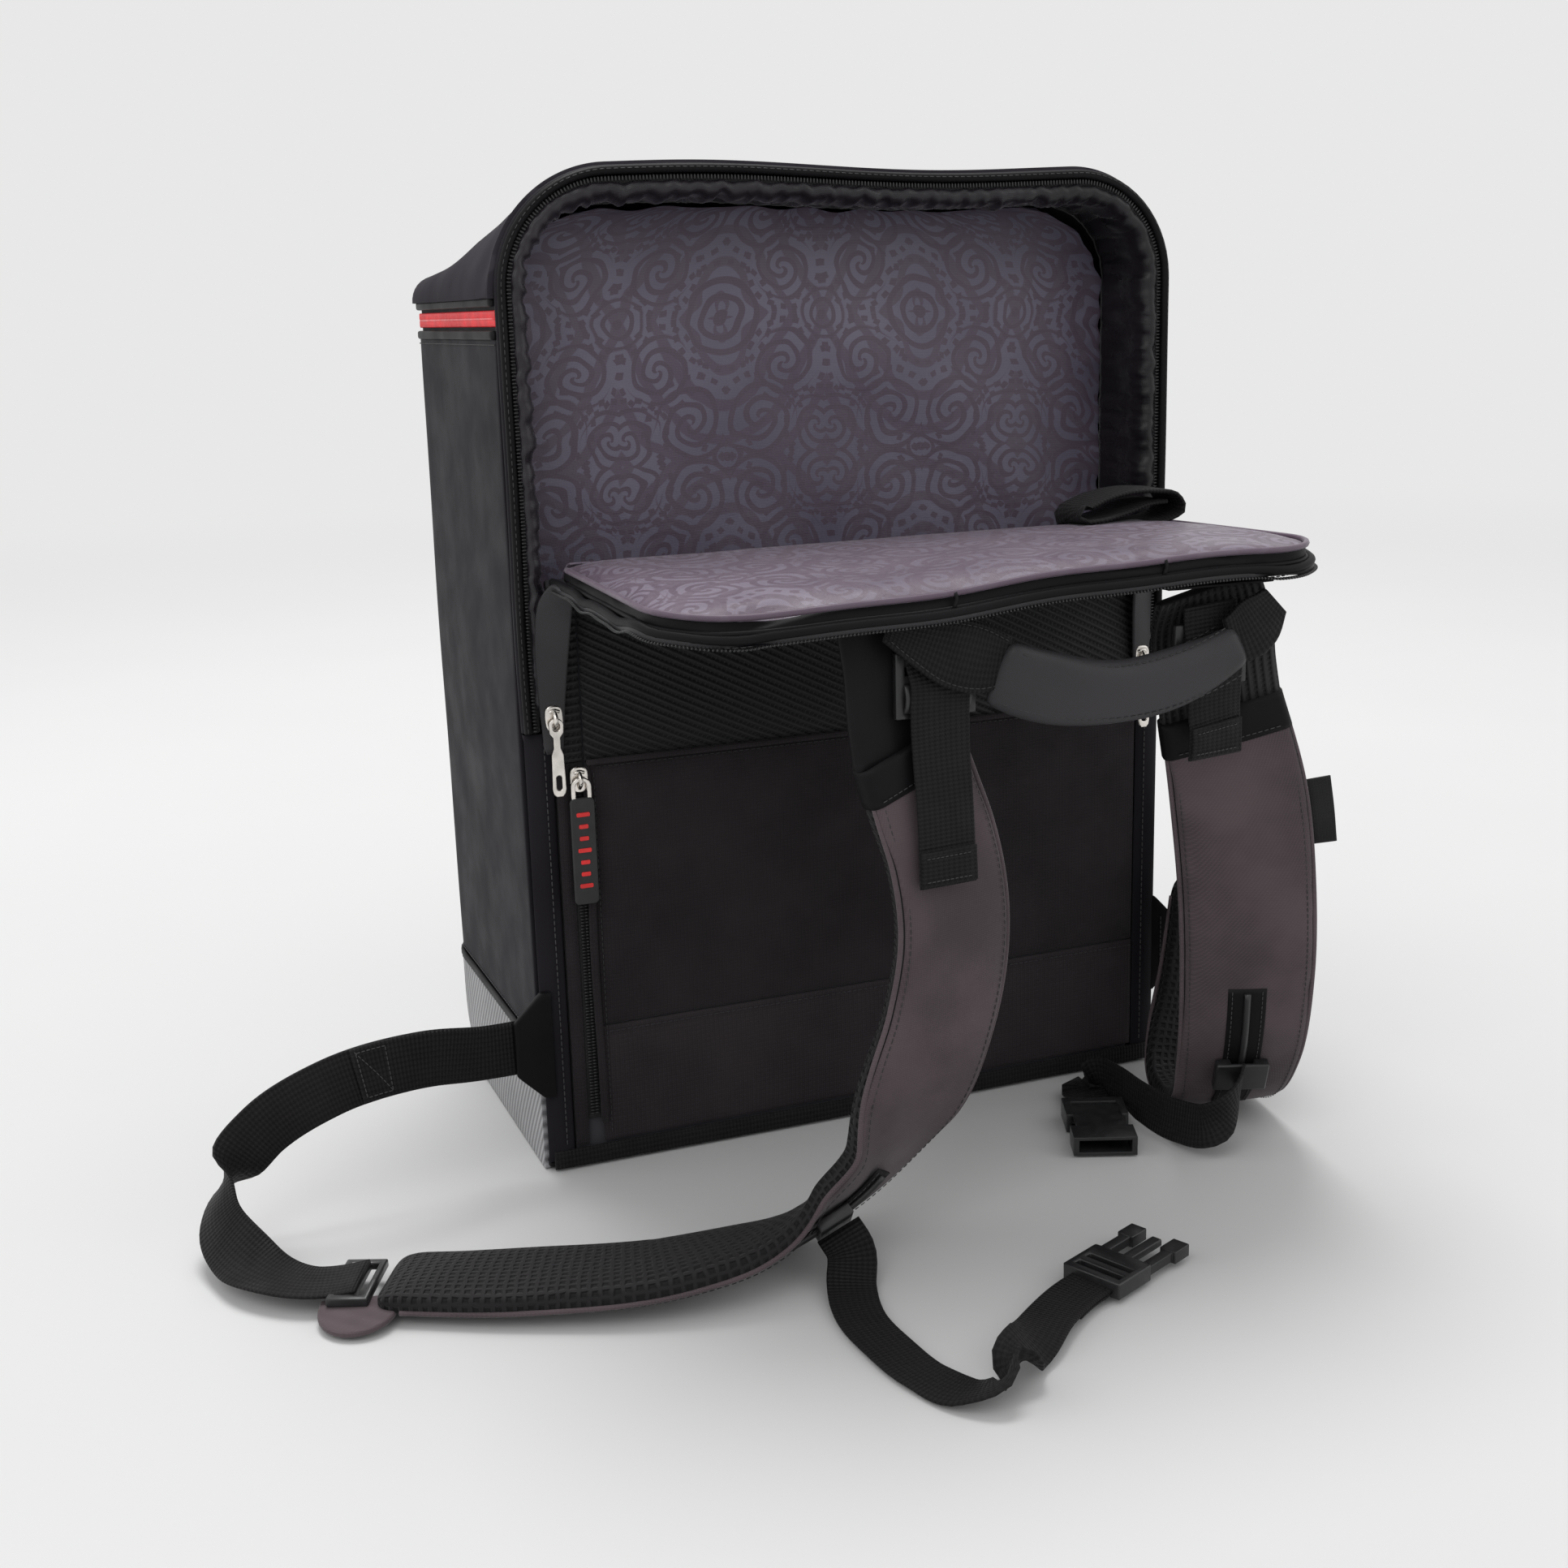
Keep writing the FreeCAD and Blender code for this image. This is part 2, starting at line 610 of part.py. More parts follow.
def handle():
    """Carry handle that hangs from the flap: a padded sleeve on a loop of webbing."""
    thick = size("handle_thickness")
    tall = size("handle_height")
    y0 = HANDLE_Y - thick / 2
    x0, x1 = SLEEVE_ENDS
    mid = (x0 + x1) / 2
    high = fold - 4 - gap
    sag = 22.0

    def outline(top_ends, top_mid, low_ends, low_mid):
        edges = [
            Part.Arc(Vector(x0, y0, top_ends), Vector(mid, y0, top_mid), Vector(x1, y0, top_ends)).toShape(),
            Part.LineSegment(Vector(x1, y0, top_ends), Vector(x1, y0, low_ends)).toShape(),
            Part.Arc(Vector(x1, y0, low_ends), Vector(mid, y0, low_mid), Vector(x0, y0, low_ends)).toShape(),
            Part.LineSegment(Vector(x0, y0, low_ends), Vector(x0, y0, top_ends)).toShape(),
        ]
        return Part.Face(Part.Wire(edges))

    face = outline(high - 6, high - sag, high - 6 - tall, high - sag - tall + 4)
    feature("handle_sleeve", face.extrude(Vector(0, thick, 0)))
    ends = []
    deep = (webbing + 1) / 2
    for end, near in ((HANDLE_ENDS[0], x0 - gap), (HANDLE_ENDS[1], x1 + gap)):
        low, high_x = sorted((end, near))
        lip = Vector(low, HANDLE_Y - deep, high - 28)
        ends.append(Part.makeBox(high_x - low, 2 * deep, fold - gap - lip.z, lip))
    feature("handle_webbing", Part.makeCompound(ends))


# ---------------------------------------------------------------- lower webbing
ANCHOR_HEIGHT = 62.0
LOOP_LEFT = behind([
    ((-half_width - 12.6, 3, 62), (0, 0, 1)),
    ((-half_width - 26, 3, 62), (0, 0, 1)),
    ((-half_width - 55, -3, 66), (0, 0.15, 1)),
    ((-256, -6, 61), (0, 0.3, 1)),
    ((-286, -8, 47), (0.3, 0.2, 1)),
    ((-302, -13, 31), (0.5, 0.1, 1)),
    ((-307, -27, 20), (0.8, -0.2, 1)),
    ((-302, -46, 13), (1, -0.2, 0.5)),
    ((-292, -62, 9), (1, 0.6, 0.1)),
])
LOOP_RIGHT = behind([
    ((half_width + 12.6, 3, 60), (0, 0, 1)),
    ((half_width + 24, 3, 60), (0, 0, 1)),
    ((half_width + 34, -5, 68), (-0.5, 0, 0.85)),
    ((196, -6, 82), (-1, 0, 0.35)),
    ((190, -6, 104), (-1, 0, 0)),
    ((184, -6.5, 124), (-1, 0, 0)),
    ((181, -10, 138), (-1, 0, 0)),
    ((179.4, -17, 143), (-1, 0, 0)),
    ((178.6, -22.5, 139), (-1, 0, 0)),
])


def anchors():
    """Coated tabs at the lower back corners, and the webbing sewn into them."""
    shapes = []
    y = back + 5
    for side in (-1, 1):
        near, far = side * (half_width + gap), side * (half_width + 12)
        width = size("webbing_width")
        corners = [
            Vector(near, y, ANCHOR_HEIGHT - width),
            Vector(far, y, ANCHOR_HEIGHT - width / 2),
            Vector(far, y, ANCHOR_HEIGHT + width / 2),
            Vector(near, y, ANCHOR_HEIGHT + width),
        ]
        face = Part.Face(Part.makePolygon(corners + corners[:1]))
        shapes.append(face.extrude(Vector(0, -4, 0)))
    feature("webbing_anchors", Part.makeCompound(shapes))
    for side, loop, path in (("left", LOOP_LEFT, LOWER_LEFT), ("right", LOOP_RIGHT, RIGHT_PATH)):
        width = size("webbing_width")
        along = direction(path, len(path) - 1)
        end = Vector(*path[-1][0]) + along * (17 + 3 * gap)
        tail = [(end + along * 8, path[-1][1], width), (end, path[-1][1], width)]
        stations = [(p, a, width) for p, a in loop] + tail
        feature(f"lower_webbing_{side}", band(stations, webbing))


def strap_lock():
    """Ladder lock on a sewn tab at the end of a shoulder strap."""
    half = size("webbing_width") / 2
    slots = [((-2.2, -half - 0.5, -3), (1.2, half + 0.5, 3)), ((5.4, -half - 0.5, -3), (8.8, half + 0.5, 3))]
    return frame_block((-5, -half - 4, -1.8), (12, half + 4, 1.8), slots)


# ---------------------------------------------------------------- sternum strap
def face_spot(path, index, lift, shift=0.0):
    """A point at some height over a strap's outer face."""
    return mounted(Part.Vertex(0, 0, 0), path, index, shift, lift).Placement.Base


def sternum_rail(label, path, indices):
    """Stiff rail sewn along the outer face of a shoulder strap."""
    lift = size("strap_thickness") / 2 + gap + 1
    spots = [face_spot(path, i, lift) for i in indices]
    return feature(label, band([(p, path[i][1], 7) for p, i in zip(spots, indices)], 2))


def sternum_slider(label, path, index, shift):
    """Slider that rides on the rail and holds the sternum webbing."""
    half = size("chest_webbing") / 2 + 2
    low = size("strap_thickness") / 2 + 2 * gap
    shape = block((-8, -half, low), (8, half, low + 5))
    shape = shape.cut(block((-9, -3.5 - 4 * gap, low - 1), (9, 3.5 + 4 * gap, low + 2 + 2 * gap)))
    return feature(label, mounted(shape, path, index, shift))


SLIDER_TOP = size("strap_thickness") / 2 + gap + 5.4


def buckle_tail(at, along):
    """The last straight stretch of webbing, square to a buckle's end."""
    along = Vector(*along).normalize()
    across = Vector(-along.y, along.x, 0)
    end = Vector(*at) - along * gap
    return [(end - along * 10, across), (end, across)]


def sternum_left():
    sternum_rail("sternum_rail_left", LOWER_LEFT, (0, 1, 2))
    sternum_slider("sternum_slider_left", LOWER_LEFT, 1, 0)
    width = size("chest_webbing")
    start = face_spot(LOWER_LEFT, 1, SLIDER_TOP + 1.5 * gap)
    path = [
        (start, (0.93, 0, 0.36)),
        (start + Vector(2.3, -8, -6), (0.93, 0, 0.36)),
    ] + behind([
        ((-79, -158, 3.8), (1, 0, 0.05)),
        ((-84, -176, 1.8), (1, 0, 0)),
        ((-84, -204, 1.8), (1, -0.1, 0)),
        ((-80, -228, 1.8), (1, -0.2, 0)),
        ((-72, -246, 3.2), (1, 0.1, 0.1)),
        ((-62, -252, 8), (1, 0.8, 0)),
        ((-52, -244, 10.5), (0.8, 1, 0)),
        ((-38, -231, 8), (0.6, 1, 0)),
        ((-20, -214, 5.6), (-0.45, 1, 0)),
    ])
    stations = [(p, a, width) for p, a in path + buckle_tail(BUCKLE_LEFT, BUCKLE_LEFT_ALONG)]
    feature("sternum_webbing_left", band(stations, webbing))


BUCKLE_LEFT = (6.0, back - 198.0, 5.2)
BUCKLE_LEFT_ALONG = (0.92, 0.4, 0)
BUCKLE_RIGHT = (94.0, back - 50.0, 5.2)
BUCKLE_RIGHT_ALONG = (-0.38, -0.92, 0)


def placed(shape, at, along):
    """Turns a shape made along +X so that it points along a direction on the floor."""
    turn = FreeCAD.Rotation(Vector(0, 0, 1), math.degrees(math.atan2(along[1], along[0])))
    shape.Placement = FreeCAD.Placement(Vector(*at), turn)
    return shape


def buckle():
    """Side release buckle: a male half with two sprung prongs, and a female half."""
    half = size("buckle_width") / 2
    thick = size("buckle_thickness") / 2
    slot = size("chest_webbing") / 2 + 0.6
    base = frame_block((0, -half, -thick + 1), (22, half, thick - 1), [((4, -slot, -9), (7.5, slot, 9))])
    base = base.cut(block((11, -slot, -9), (14.5, slot, 9)))
    guide = block((22, -2.4, -1.6), (46, 2.4, 1.6))
    feature("buckle_male", placed(base.fuse(guide), BUCKLE_LEFT, BUCKLE_LEFT_ALONG))
    for name, side in (("inner", -1), ("outer", 1)):
        low, high = sorted((side * (half - 5.5), side * (half - 1)))
        arm = block((22 + gap, low, -2), (38, high, 2))
        tip_low, tip_high = sorted((side * (half - 7), side * (half + 0.5)))
        arm = arm.fuse(block((38, tip_low, -2.6), (48, tip_high, 2.6)))
        feature(f"buckle_prong_{name}", placed(arm, BUCKLE_LEFT, BUCKLE_LEFT_ALONG))
    body = block((0, -half - 1, -thick), (46, half + 1, thick))
    body = body.cut(block((14, -half + 1.5, -thick + 1.6), (47, half - 1.5, thick - 1.6)))
    for side in (-1, 1):
        low, high = sorted((side * (half - 2), side * (half + 2)))
        body = body.cut(block((20, low, -thick - 1), (32, high, thick + 1)))
    body = body.cut(block((5, -slot, -9), (8.5, slot, 9)))
    feature("buckle_female", placed(body, BUCKLE_RIGHT, BUCKLE_RIGHT_ALONG))


def sternum_right():
    sternum_rail("sternum_rail_right", RIGHT_PATH, (3, 4, 5))
    sternum_slider("sternum_slider_right", RIGHT_PATH, 4, 4)
    width = size("chest_webbing")
    start = face_spot(RIGHT_PATH, 4, SLIDER_TOP + 1.5 * gap, 4)
    path = [
        (start, (-0.15, -0.39, 0.91)),
        (start + Vector(-6, -6, -3.6), (-0.1, -0.3, 0.95)),
    ] + behind([
        ((118, -114, 17), (0.3, 0, 1)),
        ((112, -94, 12), (0.2, 0, 1)),
        ((110, -68, 11.6), (0.1, 0, 1)),
        ((111, -46, 11.6), (0, 0, 1)),
        ((107, -32, 11), (0.2, -0.3, 1)),
        ((101, -29, 7), (0.8, -0.5, 0.4)),
    ])
    stations = [(p, a, width) for p, a in path + buckle_tail(BUCKLE_RIGHT, BUCKLE_RIGHT_ALONG)]
    feature("sternum_webbing_right", band(stations, webbing))


# ---------------------------------------------------------------- zip sliders
def zip_slider(label, at, turn=0):
    """A slider body with the loop that its pull hangs from, facing -Y before its turn."""
    half = size("slider_width") / 2
    body = block((-half, -3, 0), (half, 0, 12))
    eye = block((-1.2, -6, 3), (1.2, -3, 9))
    eye = eye.cut(block((-2, -5, 4.6), (2, -3, 7.4)))
    shape = body.fuse(eye)
    shape.Placement = FreeCAD.Placement(Vector(*at), FreeCAD.Rotation(Vector(0, 0, 1), turn))
    return feature(label, shape)


def zip_pull(label, at, length, width, turn=0):
    """A pull whose bar runs through the slider's loop."""
    bar = block((-3.4, -4.6, 5.4), (3.4, -3.4, 6.6))
    for side in (-3.4, 2):
        bar = bar.fuse(block((side, -4.6, -2), (side + 1.4, -3.4, 6.6)))
    y0 = -4.6
    bar = bar.fuse(block((-width / 2, y0, -2 - length), (width / 2, y0 + size("pull_thickness"), -2)))
    bar.Placement = FreeCAD.Placement(Vector(*at), FreeCAD.Rotation(Vector(0, 0, 1), turn))
    return feature(label, bar)


def zips():
    chain_x = half_width - size("piping_size") - size("slider_width") / 2 - 2 * gap
    face = back - size("chain_depth") + 1 - gap
    for side, sign in (("left", -1), ("right", 1)):
        at = (sign * chain_x, face, size("rim_start"))
        zip_slider(f"main_slider_{side}", at)
        zip_pull(f"main_pull_{side}", at, 26, 5)
    side_edge = half_width - size("piping_size") - size("chain_width") - 2
    pocket_top = fold - size("fold_roll") - size("mesh_height") - 0.5
    at = (10 - side_edge, back - gap, pocket_top - 13)
    zip_slider("pocket_slider", at)
    zip_pull("pocket_pull", at, 48, 11)
    at = (40 - half_width, front + gap, size("red_zip_height") - 6)
    zip_slider("red_slider", at, 180)
    zip_pull("red_pull", at, 30, 6, 180)


lifters()
handle()
anchors()
sternum_left()
sternum_right()
buckle()
zips()
straps()
shell()
red_zip()
linings()
back_panel()
opening_half, opening_top = rim()
flap(opening_half, opening_top)
stow_strap()

doc.recompute()
for thing in doc.Objects:
    if "Invalid" in thing.State or "Error" in thing.State:
        raise RuntimeError(f"{thing.Name} failed to build")
for thing in pieces:
    if thing.Shape.isNull() or not thing.Shape.isValid():
        raise RuntimeError(f"{thing.Label} has no valid shape")
os.makedirs("parts", exist_ok=True)
for thing in pieces:
    thing.Shape.exportStep(os.path.join("parts", thing.Label + ".step"))
print(len(pieces), "sub-parts written")
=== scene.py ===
import math

import bmesh
import bpy
import numpy as np
from mathutils import Matrix, Vector


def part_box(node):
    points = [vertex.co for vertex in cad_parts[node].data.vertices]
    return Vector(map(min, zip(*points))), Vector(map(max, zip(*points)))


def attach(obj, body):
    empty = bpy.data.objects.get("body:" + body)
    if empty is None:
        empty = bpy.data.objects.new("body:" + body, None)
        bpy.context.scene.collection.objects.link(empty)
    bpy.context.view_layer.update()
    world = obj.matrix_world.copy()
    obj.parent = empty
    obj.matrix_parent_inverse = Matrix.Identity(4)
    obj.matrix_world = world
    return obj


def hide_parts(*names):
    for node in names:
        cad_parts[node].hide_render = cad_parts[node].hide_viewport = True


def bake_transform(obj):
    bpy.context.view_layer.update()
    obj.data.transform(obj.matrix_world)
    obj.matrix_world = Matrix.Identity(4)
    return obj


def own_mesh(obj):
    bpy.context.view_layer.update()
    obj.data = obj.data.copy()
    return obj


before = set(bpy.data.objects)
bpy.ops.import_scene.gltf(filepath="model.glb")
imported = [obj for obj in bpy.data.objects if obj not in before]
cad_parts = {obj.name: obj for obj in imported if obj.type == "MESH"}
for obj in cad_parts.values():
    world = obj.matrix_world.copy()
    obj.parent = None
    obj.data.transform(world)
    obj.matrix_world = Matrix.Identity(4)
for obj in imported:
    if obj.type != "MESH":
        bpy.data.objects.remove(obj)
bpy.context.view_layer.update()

# Lengths are in millimetres, in the CAD frame, until make_mesh turns them into metres.
MM = 0.001


def span(node):
    """Lowest and highest corner of a CAD node, in millimetres."""
    low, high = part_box(node)
    return np.array(low) / MM, np.array(high) / MM


HALF = span("side_panel_right")[1][0]
BACK = span("pocket_panel")[0][1]
FRONT = span("front_panel")[1][1]
TOP = span("rim_piping")[1][2]
RIM_START = span("rim_piping")[0][2]
BOOT = span("base_boot")[1][2]
RED_LOW, RED_HIGH = span("red_zip_tape")[0][2], span("red_zip_tape")[1][2]
FOLD = span("flap_cover")[0][2]
FLAP_OUT = span("flap_cover")[0][1]
FLAP_HALF = span("flap_cover")[1][0]
MESH_LOW = span("mesh_band")[0][2]
PANEL_HALF = span("mesh_band")[1][0]
PIPE = (span("rim_piping")[1][1] - span("rim_piping")[0][1]) / 2
WALL_RADIUS = 14.0  # vertical corners of the shell
SKIN = 2.6  # thickness of the shell's cloth, laid inwards
PATCH = 2.4  # thickness of the cloth panels on the back
COIL_PITCH = 1.5
STRAP_THICK = 11.0
WEB_WIDE = 25
STERNUM_WIDE = 20
GUSSET_RUN = 1100  # length of the seam round the rear opening
OUT = (0, -1, 0)  # away from the bag's back
ROOT_X = {"left": -46, "right": 94}  # where the straps are sewn to the flap


# ---------------------------------------------------------------- material nodes
class Shade:
    """A material under construction: short calls that add nodes and return sockets."""

    def __init__(self, name, rough=0.6, metal=0.0, **fixed):
        self.mat = bpy.data.materials.new(name)
        self.mat.use_nodes = True
        self.tree = self.mat.node_tree
        self.bsdf = self.tree.nodes["Principled BSDF"]
        self.put("Roughness", rough)
        self.put("Metallic", metal)
        for key, value in fixed.items():
            self.put(key.replace("_", " "), value)
        self.normal = None

    def feed(self, socket, value):
        """Links a socket, or sets its uniform value."""
        if isinstance(value, bpy.types.NodeSocket):
            self.tree.links.new(value, socket)
        else:
            socket.default_value = value

    def put(self, key, value):
        self.feed(self.bsdf.inputs[key], value)

    def add(self, kind, out=0, props=None, **inputs):
        node = self.tree.nodes.new(kind)
        for key, value in (props or {}).items():
            setattr(node, key, value)
        for key, value in inputs.items():
            self.feed(node.inputs[int(key[1:]) if key[1:].isdigit() else key], value)
        return node.outputs[out]

    def m(self, op, a, b=0.0, c=0.0):
        return self.add("ShaderNodeMath", props={"operation": op}, i0=a, i1=b, i2=c)

    def mul(self, a, b):
        return self.m("MULTIPLY", a, b)

    def plus(self, a, b):
        return self.m("ADD", a, b)

    def coords(self, kind="Object"):
        return self.add("ShaderNodeTexCoord", out=kind)

    def split(self, vector):
        node = self.tree.nodes.new("ShaderNodeSeparateXYZ")
        self.tree.links.new(vector, node.inputs[0])
        return node.outputs

    def noise(self, scale, detail=3.0, vector=None, rough=0.5, stretch=None):
        vector = vector or self.coords()
        if stretch:
            vector = self.add("ShaderNodeMapping", Vector=vector, Scale=stretch)
        return self.add("ShaderNodeTexNoise", Vector=vector, Scale=scale, Detail=detail, Roughness=rough)

    def step(self, value, low, high, to_low=0.0, to_high=1.0):
        """Smooth ramp of a value between two limits."""
        return self.add("ShaderNodeMapRange", props={"interpolation_type": "SMOOTHSTEP"},
                        i0=value, i1=low, i2=high, i3=to_low, i4=to_high)

    def mix(self, factor, a, b):
        """Mixes two colours, each a socket or (r, g, b)."""
        a, b = ((*c, 1.0)[:4] if isinstance(c, tuple) else c for c in (a, b))
        return self.add("ShaderNodeMix", out=2, props={"data_type": "RGBA"}, i0=factor, i6=a, i7=b)

    def wave(self, value, pitch, phase=0.0):
        """Sine of a length in metres, one turn to each pitch in millimetres, from 0 to 1."""
        turn = self.m("MULTIPLY_ADD", value, 2 * math.pi / (pitch * MM), phase)
        return self.m("MULTIPLY_ADD", self.m("SINE", turn), 0.5, 0.5)

    def bump(self, height, distance, strength=1.0):
        """Adds relief, its distance in millimetres."""
        inputs = {"Height": height, "Distance": distance * MM, "Strength": strength}
        if self.normal:
            inputs["Normal"] = self.normal
        self.normal = self.add("ShaderNodeBump", **inputs)
        self.put("Normal", self.normal)


def lighter(colour, times, more=0.0):
    return tuple(min(1.0, times * c + more) for c in colour)


def colour_pair(shade, low, high, scale=14.0, edge=0.25):
    """Cloudy variation between two colours, a little lighter on worn edges."""
    cloud = shade.step(shade.noise(scale, 4.0), 0.3, 0.7)
    base = shade.mix(cloud, low, high)
    worn = shade.step(shade.add("ShaderNodeNewGeometry", out="Pointiness"), 0.53, 0.62, 0.0, edge)
    return shade.mix(worn, base, lighter(high, 2.2, 0.02))


def coated(name, low, high, rough=0.55, grain=0.04, crease=0.2, spec=0.1):
    """Coated fabric: fine leather-like grain, soft creases."""
    s = Shade(name, Specular_IOR_Level=spec)
    s.put("Base Color", colour_pair(s, low, high))
    s.put("Roughness", s.step(s.noise(38.0, 4.0), 0.25, 0.75, rough - 0.07, rough + 0.07))
    s.bump(s.noise(26.0, 4.0), crease * 2.0)
    s.bump(s.noise(1300.0, 2.0), grain)
    return s.mat


def plain_weave(name, low, high, pitch=0.9, rough=0.8, depth=0.12, kind="UV", sheen=0.06):
    """Woven cloth with its threads over and under each other."""
    s = Shade(name, Sheen_Weight=sheen, Sheen_Roughness=0.45, Specular_IOR_Level=0.2)
    x, y, _ = s.split(s.coords(kind))
    a, b = s.wave(x, pitch), s.wave(y, pitch)
    flip = s.mul(s.wave(x, 2 * pitch), s.wave(y, 2 * pitch, 1.57))
    threads = s.plus(s.mul(a, b), s.mul(flip, 0.5))
    base = colour_pair(s, low, high, 22.0)
    s.put("Base Color", s.mix(s.mul(threads, 0.35), base, lighter(high, 1.7, 0.004)))
    s.put("Roughness", s.step(s.noise(60.0), 0.3, 0.7, rough - 0.06, rough + 0.06))
    s.bump(s.noise(30.0, 4.0), 0.5)
    s.bump(threads, depth)
    return s.mat


def strap_cloth(name, low, high):
    """Smooth fabric over foam. It works from the object's own axes, so it needs no UVs."""
    s = Shade(name, Sheen_Weight=0.16, Sheen_Roughness=0.4, Specular_IOR_Level=0.2)
    x, y, z = s.split(s.coords())
    threads = s.mul(s.wave(s.plus(x, y), 0.8), s.wave(z, 0.8))
    s.put("Base Color", s.mix(s.mul(threads, 0.3), colour_pair(s, low, high, 20.0), lighter(high, 1.8)))
    s.put("Roughness", s.step(s.noise(45.0), 0.3, 0.7, 0.66, 0.8))
    s.bump(s.noise(35.0, 4.0), 0.7)
    s.bump(threads, 0.08)
    return s.mat


def webbing_cloth(name, low, high, rough=0.62):
    """Ribbed polyester webbing: ribs across, columns along."""
    s = Shade(name, Sheen_Weight=0.03, Sheen_Roughness=0.4, Specular_IOR_Level=0.14)
    x, y, _ = s.split(s.coords("UV"))
    column = s.wave(y, 2.3)
    lean = s.mul(s.m("SIGN", s.m("SUBTRACT", column, 0.5)), 1.6)
    rib = s.wave(s.plus(x, s.mul(s.m("ABSOLUTE", s.m("SUBTRACT", column, 0.5)), 0.0006)), 1.7)
    height = s.plus(s.mul(rib, 0.65), s.mul(column, 0.35))
    height = s.plus(height, s.mul(lean, 0.02))
    s.put("Base Color", s.mix(s.mul(height, 0.55), colour_pair(s, low, high, 30.0),
                              lighter(high, 2.4, 0.006)))
    s.put("Roughness", s.step(s.noise(80.0), 0.3, 0.7, rough - 0.08, rough + 0.08))
    s.bump(height, 0.35)
    return s.mat


def spacer(name, slant=1.0, kind="UV", pitch=3.1):
    """Ribbed spacer mesh: slanting ribs with a row of small holes between them."""
    s = Shade(name, rough=0.66, Sheen_Weight=0.05, Sheen_Roughness=0.4, Specular_IOR_Level=0.3)
    x, y, _ = s.split(s.coords(kind))
    across = s.plus(s.mul(x, 0.45 * slant), s.mul(y, 0.9))
    along = s.m("SUBTRACT", s.mul(x, 0.9), s.mul(y, 0.45 * slant))
    rib = s.wave(across, pitch)
    hole = s.mul(s.step(rib, 0.55, 0.1), s.step(s.wave(along, 2.2), 0.35, 0.7))
    height = s.m("SUBTRACT", rib, s.mul(hole, 0.7))
    base = s.mix(rib, (0.003, 0.003, 0.0034), (0.017, 0.0165, 0.018))
    s.put("Base Color", s.mix(hole, base, (0.001, 0.001, 0.001)))
    s.bump(height, 0.9)
    return s.mat


def air_mesh(name):
    """Honeycomb air mesh of a strap's inner face."""
    s = Shade(name, rough=0.7, Sheen_Weight=0.05, Sheen_Roughness=0.4, Specular_IOR_Level=0.25)
    cell = s.add("ShaderNodeTexVoronoi", props={"feature": "DISTANCE_TO_EDGE"}, Vector=s.coords("UV"),
                 Scale=250.0, Randomness=0.22)
    wall = s.step(cell, 0.34, 0.12)
    s.put("Base Color", s.mix(wall, (0.0006, 0.0006, 0.0006), (0.0095, 0.0084, 0.0095)))
    s.bump(wall, 1.1)
    return s.mat


def satin(name, base_low, base_high, mark, shine=0.36, kind="UV", ornament=True):
    """Satin lining, with a woven ornament of rings, scrolls and dots."""
    s = Shade(name, Sheen_Weight=0.12, Sheen_Roughness=0.3, Specular_IOR_Level=0.35)
    x, y, _ = s.split(s.coords(kind))
    threads = s.mul(s.wave(x, 0.5), s.wave(y, 0.7))
    base = s.mix(s.step(s.noise(9.0, 3.0), 0.35, 0.65), base_low, base_high)
    if ornament:
        base = s.mix(s.mul(scrolls(s, x, y), 0.85), base, mark)
    s.put("Base Color", s.mix(s.mul(threads, 0.18), base, lighter(base_high, 1.9)))
    s.put("Roughness", s.step(s.noise(50.0), 0.3, 0.7, shine - 0.05, shine + 0.09))
    s.bump(s.noise(42.0, 5.0, rough=0.6), 0.9)
    s.bump(s.noise(16.0, 2.0), 2.4)
    s.bump(threads, 0.05)
    return s.mat


def scrolls(s, x, y):
    """Line ornament, repeated and mirrored: rosettes, spirals, leaves and beads."""
    wide, tall = 0.098, 0.124
    bend = s.mul(s.m("SUBTRACT", s.noise(38.0, 2.0), 0.5), 0.010)
    px = s.m("PINGPONG", s.plus(x, bend), wide / 2)
    py = s.m("PINGPONG", s.plus(y, s.mul(bend, 0.6)), tall / 2)

    def polar(cx, cy):
        dx, dy = s.m("SUBTRACT", px, cx), s.m("SUBTRACT", py, cy)
        radius = s.m("SQRT", s.plus(s.mul(dx, dx), s.mul(dy, dy)))
        return radius, s.m("ARCTAN2", dy, dx)

    def lines(value, low=0.52, high=0.72):
        return s.step(s.m("MULTIPLY_ADD", s.m("SINE", value), 0.5, 0.5), low, high)

    figure = None
    shapes = (
        (0.0, 0.0, 0.021, 900.0, 0.0, 0.0),
        (0.030, 0.021, 0.016, 1150.0, 1.0, 0.4),
        (0.016, 0.046, 0.018, 1000.0, -1.0, 2.0),
        (0.045, 0.050, 0.015, 1250.0, 1.0, 1.0),
        (0.049, 0.0, 0.012, 1300.0, 0.0, 0.0),
        (0.0, 0.062, 0.009, 1300.0, 0.0, 0.0),
    )
    for cx, cy, reach, turns, twist, phase in shapes:
        radius, angle = polar(cx, cy)
        ring = s.m("MULTIPLY_ADD", radius, turns, s.m("MULTIPLY_ADD", angle, twist * 2.0, phase))
        inside = s.step(radius, reach, reach - 0.0012)
        drawn = s.mul(lines(ring), inside)
        bead_ring = s.mul(s.step(radius, reach + 0.0008, reach + 0.0014),
                          s.step(radius, reach + 0.0040, reach + 0.0034))
        beads = s.mul(bead_ring, lines(s.mul(angle, round(reach * 1100)), 0.45, 0.6))
        part = s.m("MAXIMUM", drawn, beads)
        figure = part if figure is None else s.m("MAXIMUM", figure, part)
    radius, angle = polar(0.0, 0.0)
    flow = s.plus(s.mul(radius, 420.0), s.mul(s.m("SINE", s.mul(angle, 3.0)), 2.2))
    vines = s.mul(lines(flow, 0.72, 0.86), 0.8)
    return s.m("MAXIMUM", figure, vines)


